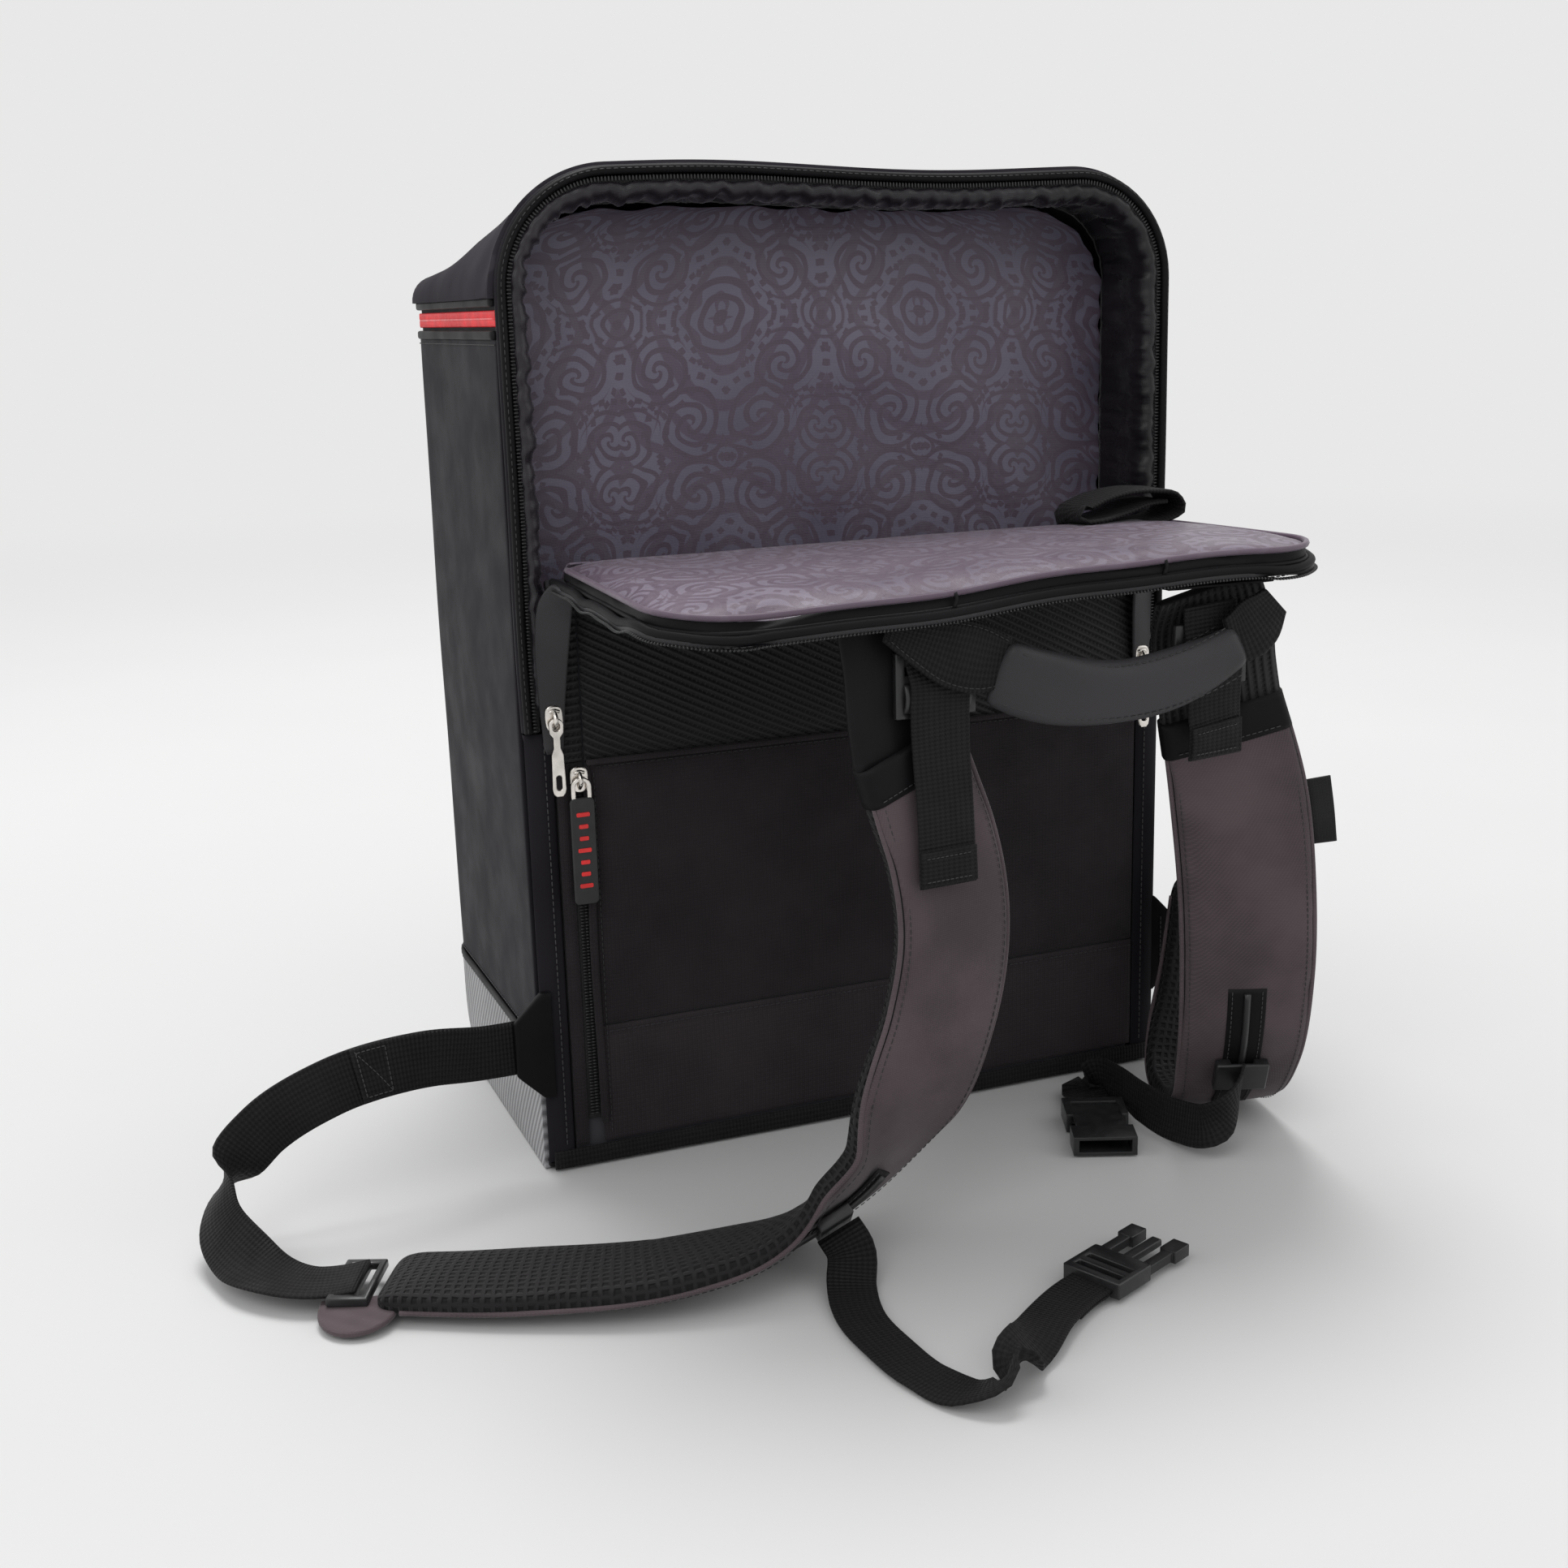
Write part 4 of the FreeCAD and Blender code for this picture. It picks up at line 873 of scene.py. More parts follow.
def arch(u, half, low, top, radius):
    """Points on an upside-down U with round corners; u runs from 0 to 1."""
    straight = top - radius - low
    quarter = radius * math.pi / 2
    across = 2 * (half - radius)
    d = u * (2 * straight + 2 * quarter + across)
    x, z = np.full_like(d, -half), low + d
    d1 = d - straight
    c = np.clip(d1 / radius, 0, math.pi / 2)
    x = np.where(d1 > 0, -half + radius - radius * np.cos(c), x)
    z = np.where(d1 > 0, top - radius + radius * np.sin(c), z)
    d2 = d1 - quarter
    x = np.where(d2 > 0, -half + radius + np.minimum(d2, across), x)
    z = np.where(d2 > 0, top, z)
    d3 = d2 - across
    c = np.clip(d3 / radius, 0, math.pi / 2)
    x = np.where(d3 > 0, half - radius + radius * np.sin(c), x)
    z = np.where(d3 > 0, top - radius + radius * np.cos(c), z)
    d4 = d3 - quarter
    x = np.where(d4 > 0, half, x)
    z = np.where(d4 > 0, top - radius - d4, z)
    return x, z


def sag(x, z):
    """How the soft rim leaves its true line: a hump on the left of the top, a dip on the right."""
    high = np.clip((z - (TOP - 60)) / 60, 0, 1)
    return high * (2.2 * np.exp(-((x + 70) / 55) ** 2) - 2.4 * np.exp(-((x - 45) / 60) ** 2))


def hood():
    """The sloping top: from the rim's arch down to a low nose over the front zip."""
    nose = 0.9

    def surface(u, v):
        run = np.clip(v / nose, 0, 1) ** 0.9
        y0, y1 = BACK + PIPE, FRONT - 2.0
        ax, az = arch(u, HALF, RED_HIGH, TOP - 1, 50.0)
        bx, bz = arch(u, HALF, RED_HIGH, RED_HIGH + 9.5, 9.0)
        x, z = ax * (1 - run) + bx * run, az * (1 - run) + bz * run
        y = y0 + (y1 - y0) * run
        drop = np.clip((v - nose) / (1 - nose), 0, 1)
        z = RED_HIGH + (z - RED_HIGH) * np.cos(drop * math.pi / 2)
        y = y + 2.0 * np.sin(drop * math.pi / 2)
        corner = np.clip((np.abs(x) - HALF + 14) / 14, 0, 1) * np.clip((y - FRONT + 14) / 14, 0, 1)
        x = x - np.sign(x) * corner**2 * 4
        y = y - corner**2 * 4
        crown = hump(v / nose) * np.clip((z - RED_HIGH) / 20, 0, 1)
        z = z + crown * (1.4 + 0.9 * ripple(x, y, 130, 8)) + sag(x, z) * (1 - run) ** 3
        fold = np.exp(-((y - BACK - 14) / 7.0) ** 2) * np.clip((np.abs(x) - HALF + 26) / 20, 0, 1)
        x = x + np.sign(x) * (crown * 0.6 - fold * 1.8 * np.clip((z - RED_HIGH) / 12, 0, 1))
        return np.stack([x, y, z], axis=-1)

    # the hood wears the lighter copy of the charcoal coated fabric on both faces: painted light on its top
    piece = slab("hood_skin", surface, 170, 56, -SKIN, M["coated_painted_lit"], 0.7, M["coated_painted_lit"])
    place(piece, "bag", "coated_fabric", "hood")
    u = np.linspace(0.02, 0.98, 150)
    seam = surface(u[:, None], np.full((150, 1), 0.05))[:, 0]
    near = surface(u[:, None], np.full((150, 1), 0.07))[:, 0]
    out = unit(np.cross(np.gradient(seam, axis=0), near - seam))
    inside = np.array([0.0, 0.0, 380.0])
    out = out * np.sign(np.sum(out * (seam - inside), axis=1, keepdims=True))
    stitches("hood_stitches", [(seam, out)], "bag", pitch=3.2)


def red_zip():
    """Black tape with two rows of red coil, between turned lips of coated fabric."""
    middle = (RED_LOW + RED_HIGH) / 2

    def surface(u, v):
        x, y = wrap(u, 1.4)
        return np.stack([x, y, RED_LOW + (RED_HIGH - RED_LOW) * v], axis=-1)

    tape = slab("red_zip_band", surface, 160, 8, -1.2, M["tape"], 0.3)
    place(tape, "bag", "coil_black", "red_zip_tape")
    for name, z, nodes in (("low", middle - 1.7, ("red_zip_chain",)), ("high", middle + 1.7, ())):
        coil("red_coil_" + name, *wrap_line(z, -0.6, 400), "bag", 3.3, *nodes, material="coil_red")
    tube("red_coil_cord", wrap_line(middle, -0.5)[0][::5], 0.55, "coil_red", 6, 6, "bag", "coil_red")
    for name, z in (("low", RED_LOW + 1.3), ("high", RED_HIGH - 1.3)):
        stations = [(q, (0, 0, 1), 3.8) for q in wrap_line(z, 0.35)[0][::6]]
        strip("red_zip_lip_" + name, stations, 5, 2.2, 1.0, "coated_dark", "bag", "coated_fabric")


def rim_line(count, inset, radius, y):
    """The rear opening's outline, at an inset from the outside of the shell."""
    x, z = arch(np.linspace(0, 1, count), HALF - inset, RIM_START, TOP - inset, radius)
    z = z + sag(x, z)
    x = x + np.clip((TOP - 70 - z) / 200, 0, 1) * 0.6 * np.sin(z / 23.0)
    return np.column_stack([x, np.full(count, y), z])


def rim():
    """Thin corded edge of the rear opening, with the shell's row of coil inside it."""
    bead = 1.8
    edge = bead + 0.4
    tube("rim_binding", rim_line(150, edge, 47.0, BACK - 0.8), bead, "coated_dark", 12, 5, "bag",
         "coated_fabric", "rim_piping")
    tube("rim_backing", rim_line(150, edge - 0.3, 47.3, BACK + 2.6), 2.0, "coated", 10, 5, "bag",
         "coated_fabric")
    coil("rim_coil", rim_line(300, edge + bead + 1.5, 43.0, BACK - 0.4), OUT, "bag", 2.4, "rim_zip_chain")
    tube("rim_tape", rim_line(150, edge + bead + 2.2, 42.4, BACK + 1.6), 1.7, "tape", 8, 5, "bag",
         "coil_black")
    hem = rim_line(300, edge - 0.4, 47.4, BACK - bead - 0.72)
    stitches("rim_stitches", [(hem, OUT)], "bag", "thread_dark", 3.0, 2.1, 0.4)


def gusset():
    """The gathered strip of satin between the rim and the divider: a puckered roll, then a wall."""
    profile = ((0.0, 0.0), (3.0, -2.6), (6.6, -0.6), (8.4, 5.0), (7.6, 14.0), (6.6, 24.0), (7.6, 38.0))
    rows, _ = spline([[inward, deep, 0.0] for inward, deep in profile], 1.5)
    even = np.linspace(0, 1, len(rows))

    def surface(u, v):
        x, z = arch(u, HALF - 5.4, 7.0, TOP - 6.2, 42.0)
        along_ = u * GUSSET_RUN
        inward = np.interp(v, even, rows[:, 0])
        deep = np.interp(v, even, rows[:, 1])
        fold = ripple(along_, v * 8, 6.0, 21) * 0.9 + ripple(along_, v * 20, 15, 22) * 0.8
        sharp = np.abs(ripple(along_, v * 6, 9.5, 24)) * 1.3
        wave_ = hump(v * 0.96 + 0.03, 0.5)
        inward = inward + wave_ * (fold - 1.3 * sharp + 0.6)
        cx = -np.sign(x) * np.clip((np.abs(x) - HALF + 50) / 41, 0, 1)
        cz = -np.clip((z - TOP + 54) / 41, 0, 1)
        length = np.sqrt(cx**2 + cz**2) + 1e-6
        x = x + inward * cx / length
        z = z + inward * cz / length + sag(x, z)
        hidden = np.clip((RIM_START + 12 - z) / 12, 0, 1)
        y = BACK + 1.0 + deep + wave_ * (0.9 * ripple(along_, v * 5, 11, 23) - 0.7 * sharp) + hidden * 8.0
        return np.stack([x, y, z], axis=-1)

    piece = slab("gusset_satin", surface, 1000, 26, -0.7, M["lining_plain"], 0)
    place(piece, "bag", "lining", "gusset_lining")
    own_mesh(piece)


def divider():
    """The padded rear wall of the main space, in ornamented satin, its edge drawn in by the seam."""
    low, high = span("divider_panel")

    def surface(u, v):
        top = high[2] + 1.2
        z = low[2] + (top - low[2]) * v
        r = 43.0
        near = np.clip(z - (top - r), 0, r)
        half = high[0] - 1.5 - r + np.sqrt(np.maximum(r**2 - near**2, 0))
        edge = np.abs(u - 0.5) * 2
        half = half - 4.6 - 1.5 * ripple(z, u * 0, 17, 31) * np.clip((z - 60) / 60, 0, 1)
        x = (u - 0.5) * 2 * half
        top_in = np.clip((v - 0.9) / 0.1, 0, 1)
        z = z - 1.0 * top_in * (1 + ripple(x, x * 0, 21, 32)) + top_in * sag(x, z) * 0.8
        dome = (1 - edge**6) * (1 - (2 * v - 1) ** 8)
        crease = ripple(x * 0.7, z, 60, 33) * 0.9 + ripple(x, z * 0.5, 24, 34) * 0.35
        pull = np.exp(-((1 - edge) * 16) ** 2) * ripple(z, z * 0, 9, 35) * 0.9
        y = low[1] + 1.5 - dome * (3.4 + crease) - pull
        return np.stack([x, y, z], axis=-1)

    piece = slab("divider_pad", surface, 130, 170, 5.5, M["lining"], 0.6)
    place(piece, "bag", "lining", "divider_panel")


shell_wall()
boot()
hood()
red_zip()
rim()
gusset()
divider()


# ---------------------------------------------------------------- back panel
def panel_patch(name, x_range, z_range, y, thick, material, crown, seed, cells, edge, wrinkle, slot,
                *replaced, scale=60.0):
    """A crowned cloth panel on the back, its rim turned down to the seam."""
    (x0, x1), (z0, z1) = x_range, z_range

    def surface(u, v):
        x, z = x0 + (x1 - x0) * u, z0 + (z1 - z0) * v
        near = np.minimum(np.minimum(x - x0, x1 - x), np.minimum(z - z0, z1 - z))
        rise = 1 - np.exp(-np.maximum(near, 0) / edge)
        out = crown * rise + wrinkle * ripple(x, z, scale, seed) * rise
        return np.stack([x, y - out, z], axis=-1)

    place(slab(name, surface, *cells, thick, M[material], 0.4), "bag", slot, *replaced)


def upright(x, z, y, count=60):
    """A straight line on the back, from (x[0], z[0]) to (x[1], z[1])."""
    return np.column_stack([np.linspace(*x, count), np.full(count, y), np.linspace(*z, count)])


def back_panel():
    """Pocket, lumbar patch, mesh band, edge strips and pocket zip below the fold."""
    low, high = span("pocket_panel")
    zip_low, zip_high = span("pocket_zip_chain")
    lumbar_low, lumbar_high = span("lumbar_panel")
    mesh_low, mesh_high = span("mesh_band")
    panel_patch("pocket_cloth", (low[0] + 0.3, high[0]), (low[2], high[2]), low[1] + 1.4, PATCH, "cloth", 2.2,
                41, (90, 60), 7.0, 0.7, "pack_cloth", "pocket_panel", scale=85.0)
    panel_patch("lumbar_cloth", (lumbar_low[0], lumbar_high[0]), (lumbar_low[2], lumbar_high[2]),
                lumbar_low[1] + 1.2, PATCH, "cloth_low", 1.5, 42, (90, 30), 6.0, 0.5, "pack_cloth",
                "lumbar_panel")
    mesh_z = (mesh_low[2], mesh_high[2] - 1)
    panel_patch("mesh_pad", (mesh_low[0] + 13.5, mesh_high[0]), mesh_z, mesh_low[1] + 2.6, 4.0, "mesh", 3.0,
                43, (90, 36), 6.5, 0.5, "spacer_mesh", "mesh_band")
    panel_patch("mesh_side", (mesh_low[0] + 0.6, mesh_low[0] + 13.0), mesh_z, mesh_low[1] + 3.0, 3.6,
                "mesh_rows", 1.6, 44, (14, 36), 3.0, 0.2, "spacer_mesh")
    sides = ((-HALF + 0.6, mesh_low[0] - 0.4), (mesh_high[0] + 0.4, HALF - 0.6))
    for seed, letter, x_range in zip((45, 46), "lr", sides):
        panel_patch(f"edge_strip_{letter}", x_range, (4.0, RIM_START - 1), low[1] + 1.6, 4.6, "coated", 1.8,
                    seed, (10, 70), 3.0, 0.4, "coated_fabric")
    panel_patch("zip_strip", (mesh_low[0] + 0.4, zip_low[0] - 0.6), (10.0, low[2] + 123), low[1] + 1.2, PATCH,
                "cloth", 1.4, 47, (8, 60), 2.0, 0.2, "pack_cloth", "edge_strips")
    # pocket zip: two rows of coil at the bottom of a fold
    for number, shift, nodes in ((0, 1.5, ("pocket_zip_chain",)), (1, 3.7, ())):
        x = zip_low[0] + shift
        line = upright((x, x), (24, zip_high[2] - 4), low[1] + 1.2)
        coil(f"pocket_coil_{number}", line, OUT, "bag", 2.4, *nodes)
    stations = [((zip_low[0] + 2.6, low[1] + 2.2, z), (1, 0, 0), 6.4) for z in (22, 100, zip_high[2])]
    strip("pocket_tape", stations, 20, 0.8, 0.4, "tape", "bag", "coil_black")
    stations = [((zip_high[0] + 1.0 + 0.5 * math.sin(z / 21.0), low[1] - 0.7, z), (1, 0, 0.02), 3.6)
                for z in range(20, int(zip_high[2]) + 1, 12)]
    strip("pocket_lip", stations, 5, 1.5, 0.7, "cloth", "bag", "pack_cloth", taper=3.0)
    across, left = (low[0] + 4, high[0] - 2), low[0] + 3.2
    seams = [upright(across, (lumbar_high[2] - 2.4,) * 2, lumbar_low[1] - 0.15),
             upright(across, (high[2] - 2.6,) * 2, low[1] + 0.2),
             upright((left, left), (14, high[2] - 4), low[1] + 0.05)]
    stitches("panel_stitches", [(line, OUT) for line in seams], "bag", "thread_dark", 2.8, 2.0, 0.45,
             "pack_cloth")
    edges = [upright((x, x), (12, RIM_START - 4), BACK - 0.35) for x in (-PANEL_HALF - 4.4, PANEL_HALF + 4.4)]
    stitches("edge_stitches", [(line, OUT) for line in edges], "bag")
    stations = [((x, BACK - 0.4 - 0.5 * math.cos(x / 50.0), 5.2), (0, 0.05, 1), 8.6)
                for x in np.linspace(-HALF + 3, HALF - 3, 24)]
    strip("bottom_tape", stations, 6, 2.4, 1.1, "web", "bag", "pack_cloth", "bottom_binding")
    stations = [((x, BACK - 0.2 - 0.9 * math.sin(x / 37.0) ** 2, FOLD), (0, 0.3, 1), 4.4)
                for x in np.linspace(-PANEL_HALF, PANEL_HALF, 28)]
    strip("fold_tape", stations, 6, 3.4, 1.6, "coated_dark", "bag", "coated_fabric", "fold_binding")
    stations = [((x, BACK - 1.6, MESH_LOW - 0.4), (0, 0, 1), 2.6) for x in np.linspace(low[0], high[0], 24)]
    strip("mesh_welt", stations, 6, 1.8, 0.8, "cloth", "bag", "pack_cloth")
    for node in ("back_board", "base_board"):  # shapes that are right as they are
        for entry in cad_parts[node].material_slots:
            entry.material = M["board"]


back_panel()


# ---------------------------------------------------------------- flap
def flap_lift(x, y):
    """The flap's soft lie: it droops at the outer left and rises towards the right."""
    out = np.clip((BACK - y) / 150.0, 0, 1)
    across = np.clip((x / FLAP_HALF + 1) / 2, 0, 1)
    rise = out * (-4.6 + 9.5 * across**1.2) - 2.0 * out**3 * np.exp(-((x + 100) / 50) ** 2)
    return rise + out**2 * (1.1 * np.sin(x / 29.0) + 0.5 * np.sin(x / 13.0 + 1))


def flap_outline(v, half, out, radius, inner=None):
    """Half width of the flap at each distance from its fold."""
    start = BACK - 2.4 if inner is None else inner
    y = start + (out - start) * v
    near = np.clip((out + radius) - y, 0, radius)
    return y, half - radius + np.sqrt(np.maximum(radius**2 - near**2, 0))


def flap_cover():
    """Coated outer face of the flap, with its half of the zip round the free edge."""

    def surface(u, v):
        y, half = flap_outline(1 - (1 - v) ** 1.25, FLAP_HALF, FLAP_OUT, 34.0)
        x = (u - 0.5) * 2 * half
        edge = np.abs(u - 0.5) * 2
        wave_ = np.clip((edge - 0.9) / 0.1, 0, 1) ** 2 * ripple(y, x * 0, 26, 51) * 1.6
        z = FOLD + 3.0 + flap_lift(x, y) + wave_ * np.clip((BACK - y) / 30, 0, 1)
        return np.stack([x, y, z], axis=-1)

    piece = slab("flap_skin", surface, 100, 60, -3.0, M["coated_light"], 0.9, M["coated"])
    place(piece, "flap", "coated_fabric", "flap_cover")
    line, inward = free_edge(surface)
    coil("flap_coil", line - (0, 0, 3.4), (0, 0, -1), "flap", 3.0, "flap_zip_chain", shift=-0.2)
    stations = [(p, across, 3.4) for p, across in zip((line + inward * 1.2)[::5], inward[::5])]
    strip("flap_edge_roll", stations, 5, 3.6, 1.6, "coated_dark", "flap", "coated_fabric")
    stitches("flap_stitches", [(line + inward * 6.0 - (0, 0, 3.1), (0, 0, -1))], "flap")


def free_edge(surface, count=240):
    """The free edge of the flap as a line, with directions that point inwards."""
    v = np.linspace(0.04, 1, 90)
    left, right = (surface(np.full((1, 90), side), v[None, :])[0] for side in (0.0, 1.0))
    top = surface(np.linspace(0, 1, 90)[None, 1:-1], np.ones((1, 88)))[0]
    line = np.vstack([left, top, right[::-1]])
    d = run_of(line)
    line = between(np.linspace(0, d[-1], count), d, line)
    inward = unit(np.cross(np.array([0.0, 0.0, 1.0]), unit(np.gradient(line, axis=0))))
    centre = np.array([0.0, BACK - 75.0, FOLD])
    return line, inward * np.sign(np.mean(np.sum((centre - line) * inward, axis=1)))


def flap_pad():
    """The flap's padding in its satin cover, inflated so that it is crowned between its seams."""
    low, high = span("flap_pad")
    half, out, start = high[0] + 2.4, low[1] - 2.6, high[1]
    nx, ny, rows = 58, 30, 3
    n, thick = nx * ny, high[2] - low[2]

    def grid(level):
        u, v = np.meshgrid(np.linspace(0, 1, nx), np.linspace(0, 1, ny), indexing="ij")
        y, h = flap_outline(1 - (1 - v) ** 1.2, half, out, 30.0, start)
        x = (u - 0.5) * 2 * h
        return np.stack([x, y, low[2] + 0.8 + level + flap_lift(x, y)], axis=-1).reshape(-1, 3)

    bottom, top = grid(0.0), grid(thick - 2.0)
    quads, border = sheet_grid(nx, ny)
    faces = [face for quad in quads for face in (quad, tuple(n + q for q in quad))]
    index = [0] * len(faces)
    points, rings = [bottom, top], [border]
    for k in range(1, rows):
        points.append(bottom[border] * (1 - k / rows) + top[border] * (k / rows))
        rings.append([2 * n + (k - 1) * len(border) + i for i in range(len(border))])
    rings.append([n + q for q in border])
    for lower, upper in zip(rings, rings[1:]):
        for i in range(len(border)):
            k = (i + 1) % len(border)
            faces.append((lower[i], lower[k], upper[k], upper[i]))
            index.append(1)
    points = np.vstack(points)
    uvs = [(points[q][0] * MM, points[q][1] * MM) for f in faces for q in f]
    # the cushion's top wears the lighter copy of the lining satin: painted light on the top
    piece = make_mesh("flap_cushion", points, faces, [M["lining_painted_lit"], M["coated_dark"]], uvs, index)
    fix_normals(piece)
    puff(piece, 4.0, 5.0, 20, list(range(n)))
    subdivide(piece)
    place(piece, "flap", "lining", "flap_pad")
    # the seams run round the free edge only, so the ring is opened at its longest step
    line = top[border][top[border][:, 1] < start - 2]
    gap = int(np.argmax(np.linalg.norm(np.diff(np.vstack([line, line[:1]]), axis=0), axis=1)))
    line = np.roll(line, -(gap + 1), axis=0)
    # the welt uses the lighter copy of the lining satin: painted light on the top
    tube("flap_pad_welt", line[::2] + np.array([0, 0, 0.3]), 1.3, "lining_painted_lit", 8, 4, "flap", "lining")
    lower = line[::2] - (0, 0, thick - 2.4)
    tube("flap_pad_seam", lower, 1.1, "coated_dark", 8, 4, "flap", "coated_fabric")
    front = line[line[:, 1] < out + 1.5]
    for number, x in enumerate((-30.0, 62.0)):
        spot = front[np.argmin(np.abs(front[:, 0] - x))]
        join = [spot + np.array([0.6 * math.sin(k), -0.9, 0.6 - (thick - 2.0) * k / 4]) for k in range(5)]
        tube(f"flap_pad_join_{number}", join, 0.8, "coated_dark", 8, 1.5, "flap", "coated_fabric")


def flap_crossings():
    """Cloth that crosses the fold: skin below, lining above, and the zip strips at both ends."""

    def below(u, v):
        x = (u - 0.5) * 2 * (PANEL_HALF - 1)
        c = v * math.pi / 2
        y = BACK - 1.8 - 5.5 * (1 - np.cos(c)) - 4 * v
        z = FOLD - 5.0 + 5.4 * np.sin(c) + 0.4 * ripple(x, v, 30, 61) * v
        return np.stack([x, y, z], axis=-1)

    piece = slab("fold_skin", below, 60, 8, -1.0, M["coated"], 0)
    place(piece, ("bag", "flap", (0, BACK - 1, FOLD - 5), (0, BACK - 10, FOLD + 2)), "coated_fabric")

    def above(u, v):
        x = (u - 0.5) * 2 * (PANEL_HALF - 8)
        y = BACK + 6.0 - 20.0 * v
        z = FOLD - 5.5 + 15.5 * np.sin(np.clip(v, 0, 1) * math.pi / 2) ** 0.8
        z = z + ripple(x, v * 20, 26, 62) * 0.8 * np.sin(math.pi * v)
        return np.stack([x, y, z], axis=-1)

    # the lining above the fold uses the lighter copy of the lining satin: painted light on the top
    piece = slab("fold_lining", above, 90, 12, 0.9, M["lining_painted_lit"], 0)
    place(piece, ("bag", "flap", (0, BACK + 3, FOLD - 2), (0, BACK - 12, FOLD + 9)), "lining")
    for name, side in (("left", -1), ("right", 1)):
        stations = [
            ((side * (PANEL_HALF + 0.5), BACK - 2.0, RIM_START - 10), (side, 0.25, 0), 8.0),
            ((side * (PANEL_HALF + 0.2), BACK - 2.8, 222), (side, 0.3, 0), 12.0),
            ((side * (PANEL_HALF - 0.6), BACK - 4.6, 244), (side, 0.5, 0), 15.0),
            ((side * (PANEL_HALF - 1.6), BACK - 9.0, 259), (side, 0.5, 0.35), 15.0),
            ((side * (PANEL_HALF - 2.6), BACK - 17.0, 266.4), (side, 0.3, 0.8), 12.0),
            ((side * (PANEL_HALF - 3.4), BACK - 30.0, 268.6), (side, 0, 0.3), 8.0),
        ]
        crossing = ("bag", "flap", (0, BACK - 2, FOLD - 16), (0, BACK - 12, FOLD))
        strip(f"zip_strip_{name}", stations, 3, 1.8, 0.8, "coated_light", crossing, "coated_fabric",
              taper=2.0)


def stow_strap():
    """Hook and loop tie, folded over itself in two loops."""
    low, high = span("stow_strap")
    y = (low[1] + high[1]) / 2
    z0 = low[2] + 3.4
    path = [(86, 0), (100, -0.6), (118, -0.4), (128, 1.2), (134, 6.0), (131, 11.5), (121, 13.6), (106, 13.2),
            (92, 9.6), (84.5, 5.6), (84.0, 2.6), (90, 2.2), (104, 4.6), (117, 8.0), (126, 8.6)]
    stations = [((x, y + 1.5 * math.sin(i), z0 + z), (0.06 * math.sin(i * 1.3), 1, 0), 24.0)
                for i, (x, z) in enumerate(path)]
    strip("stow_tie", stations, 2.5, 1.9, 0.8, "web", "flap", "webbing", "stow_strap", cells=3)
    patch = panel_box("stow_patch", (84, y - 13, FOLD + 11.5), (112, y + 13, FOLD + 13.2), M["web"], 0.6)
    place(patch, "flap", "webbing")


def panel_box(name, low, high, material, bevel=0.5, cells=6):
    """A flat sewn patch lying level, slightly uneven."""

    def surface(u, v):
        x, y = low[0] + (high[0] - low[0]) * u, low[1] + (high[1] - low[1]) * v
        return np.stack([x, y, high[2] + 0.15 * ripple(x, y, 12, 5)], axis=-1)

    return slab(name, surface, cells, cells, high[2] - low[2], material, bevel)


flap_cover()
flap_pad()
flap_crossings()
stow_strap()


# ---------------------------------------------------------------- handle
def handle():
    """Padded grey sleeve over webbing whose ends are sewn to the flap."""
    low, high = span("handle_sleeve")
    y = (low[1] + high[1]) / 2
    x0, x1, ends, belly = low[0], high[0], high[2] - 13.0, low[2] + 12.0
    middle = (x0 + x1) / 2
    stations = []
    for x in np.linspace(x0 + 2, x1 - 2, 9):
        t = (x - x0) / (x1 - x0)
        height = belly + (ends - belly) * ((x - middle) / (x1 - middle)) ** 2
        tall = 31.0 - 3.0 * t - 9.0 * t**4 - 3.0 * math.exp(-t * 14) + 0.8 * math.sin(x / 9.0)
        stations.append(((x, y - 0.8 * math.cos((x - middle) / 34.0), height - 1.5 * (1 - t)),
                         (0, -0.10 + 0.2 * t, 1), tall))
    rail = Rail(stations, 2.4)
    piece = sweep("handle_cover", rail, lambda w: oblong(w - 2, 6.6, 3.1, cells=8, steps=4, crown=1.0),
                  M["coated_light"], taper=5.0)
    puff(piece, 3.0, 1.6, 14)
    subdivide(piece)
    place(piece, "handle", "coated_fabric", "handle_sleeve")
    lengths = np.linspace(6, rail.s[-1] - 6, 120)
    rows = []
    for across in (-10.4, 10.4):
        for side in (-1, 1):
            p, n = rail.line(lengths, across, side * 3.6)
            rows.append((p, side * n))
    stitches("handle_stitches", rows, "handle", "thread_dark", 3.2)
    # webbing ends, gathered into the sleeve
    web_low, web_high = span("handle_webbing")
    left = [((web_low[0] + 1, y, web_high[2] - 5), (0.30, 0, 1), 10.0),
            ((-42, y - 0.6, 257), (0.25, 0, 1), 19.0),
            ((-28, y - 1.0, 251.5), (0.15, 0, 1), 27.0), ((-15, y - 0.6, 247.5), (0.08, 0, 1), 26.0),
            ((-5, y, 245.5), (0.12, 0, 1), 20.0)]
    right = [((web_high[0] - 0.6, y, web_high[2] - 8), (-0.2, 0, 1), 16.0),
             ((111, y - 0.8, 253), (-0.1, 0, 1), 24.0), ((103, y - 0.6, 247.5), (-0.1, 0, 1), 24.0),
             ((96, y, 245), (-0.12, 0, 1), 19.0)]
    for name, stations, nodes in (("left", left, ("handle_webbing",)), ("right", right, ())):
        end = strip(f"handle_web_{name}", stations, 2.0, 2.4, 1.1, "web", "handle", "webbing", *nodes,
                    cells=4)
        s = np.linspace(2, end.s[-1] - 2, 40)
        rows = [end.line(s, side * (end.width(s) / 2 - 2.0), 1.3) for side in (-1, 1)]
        stitches(f"handle_web_{name}_stitches", rows, "handle", "thread_dark", 2.6, 1.9, 0.4, "webbing")


handle()


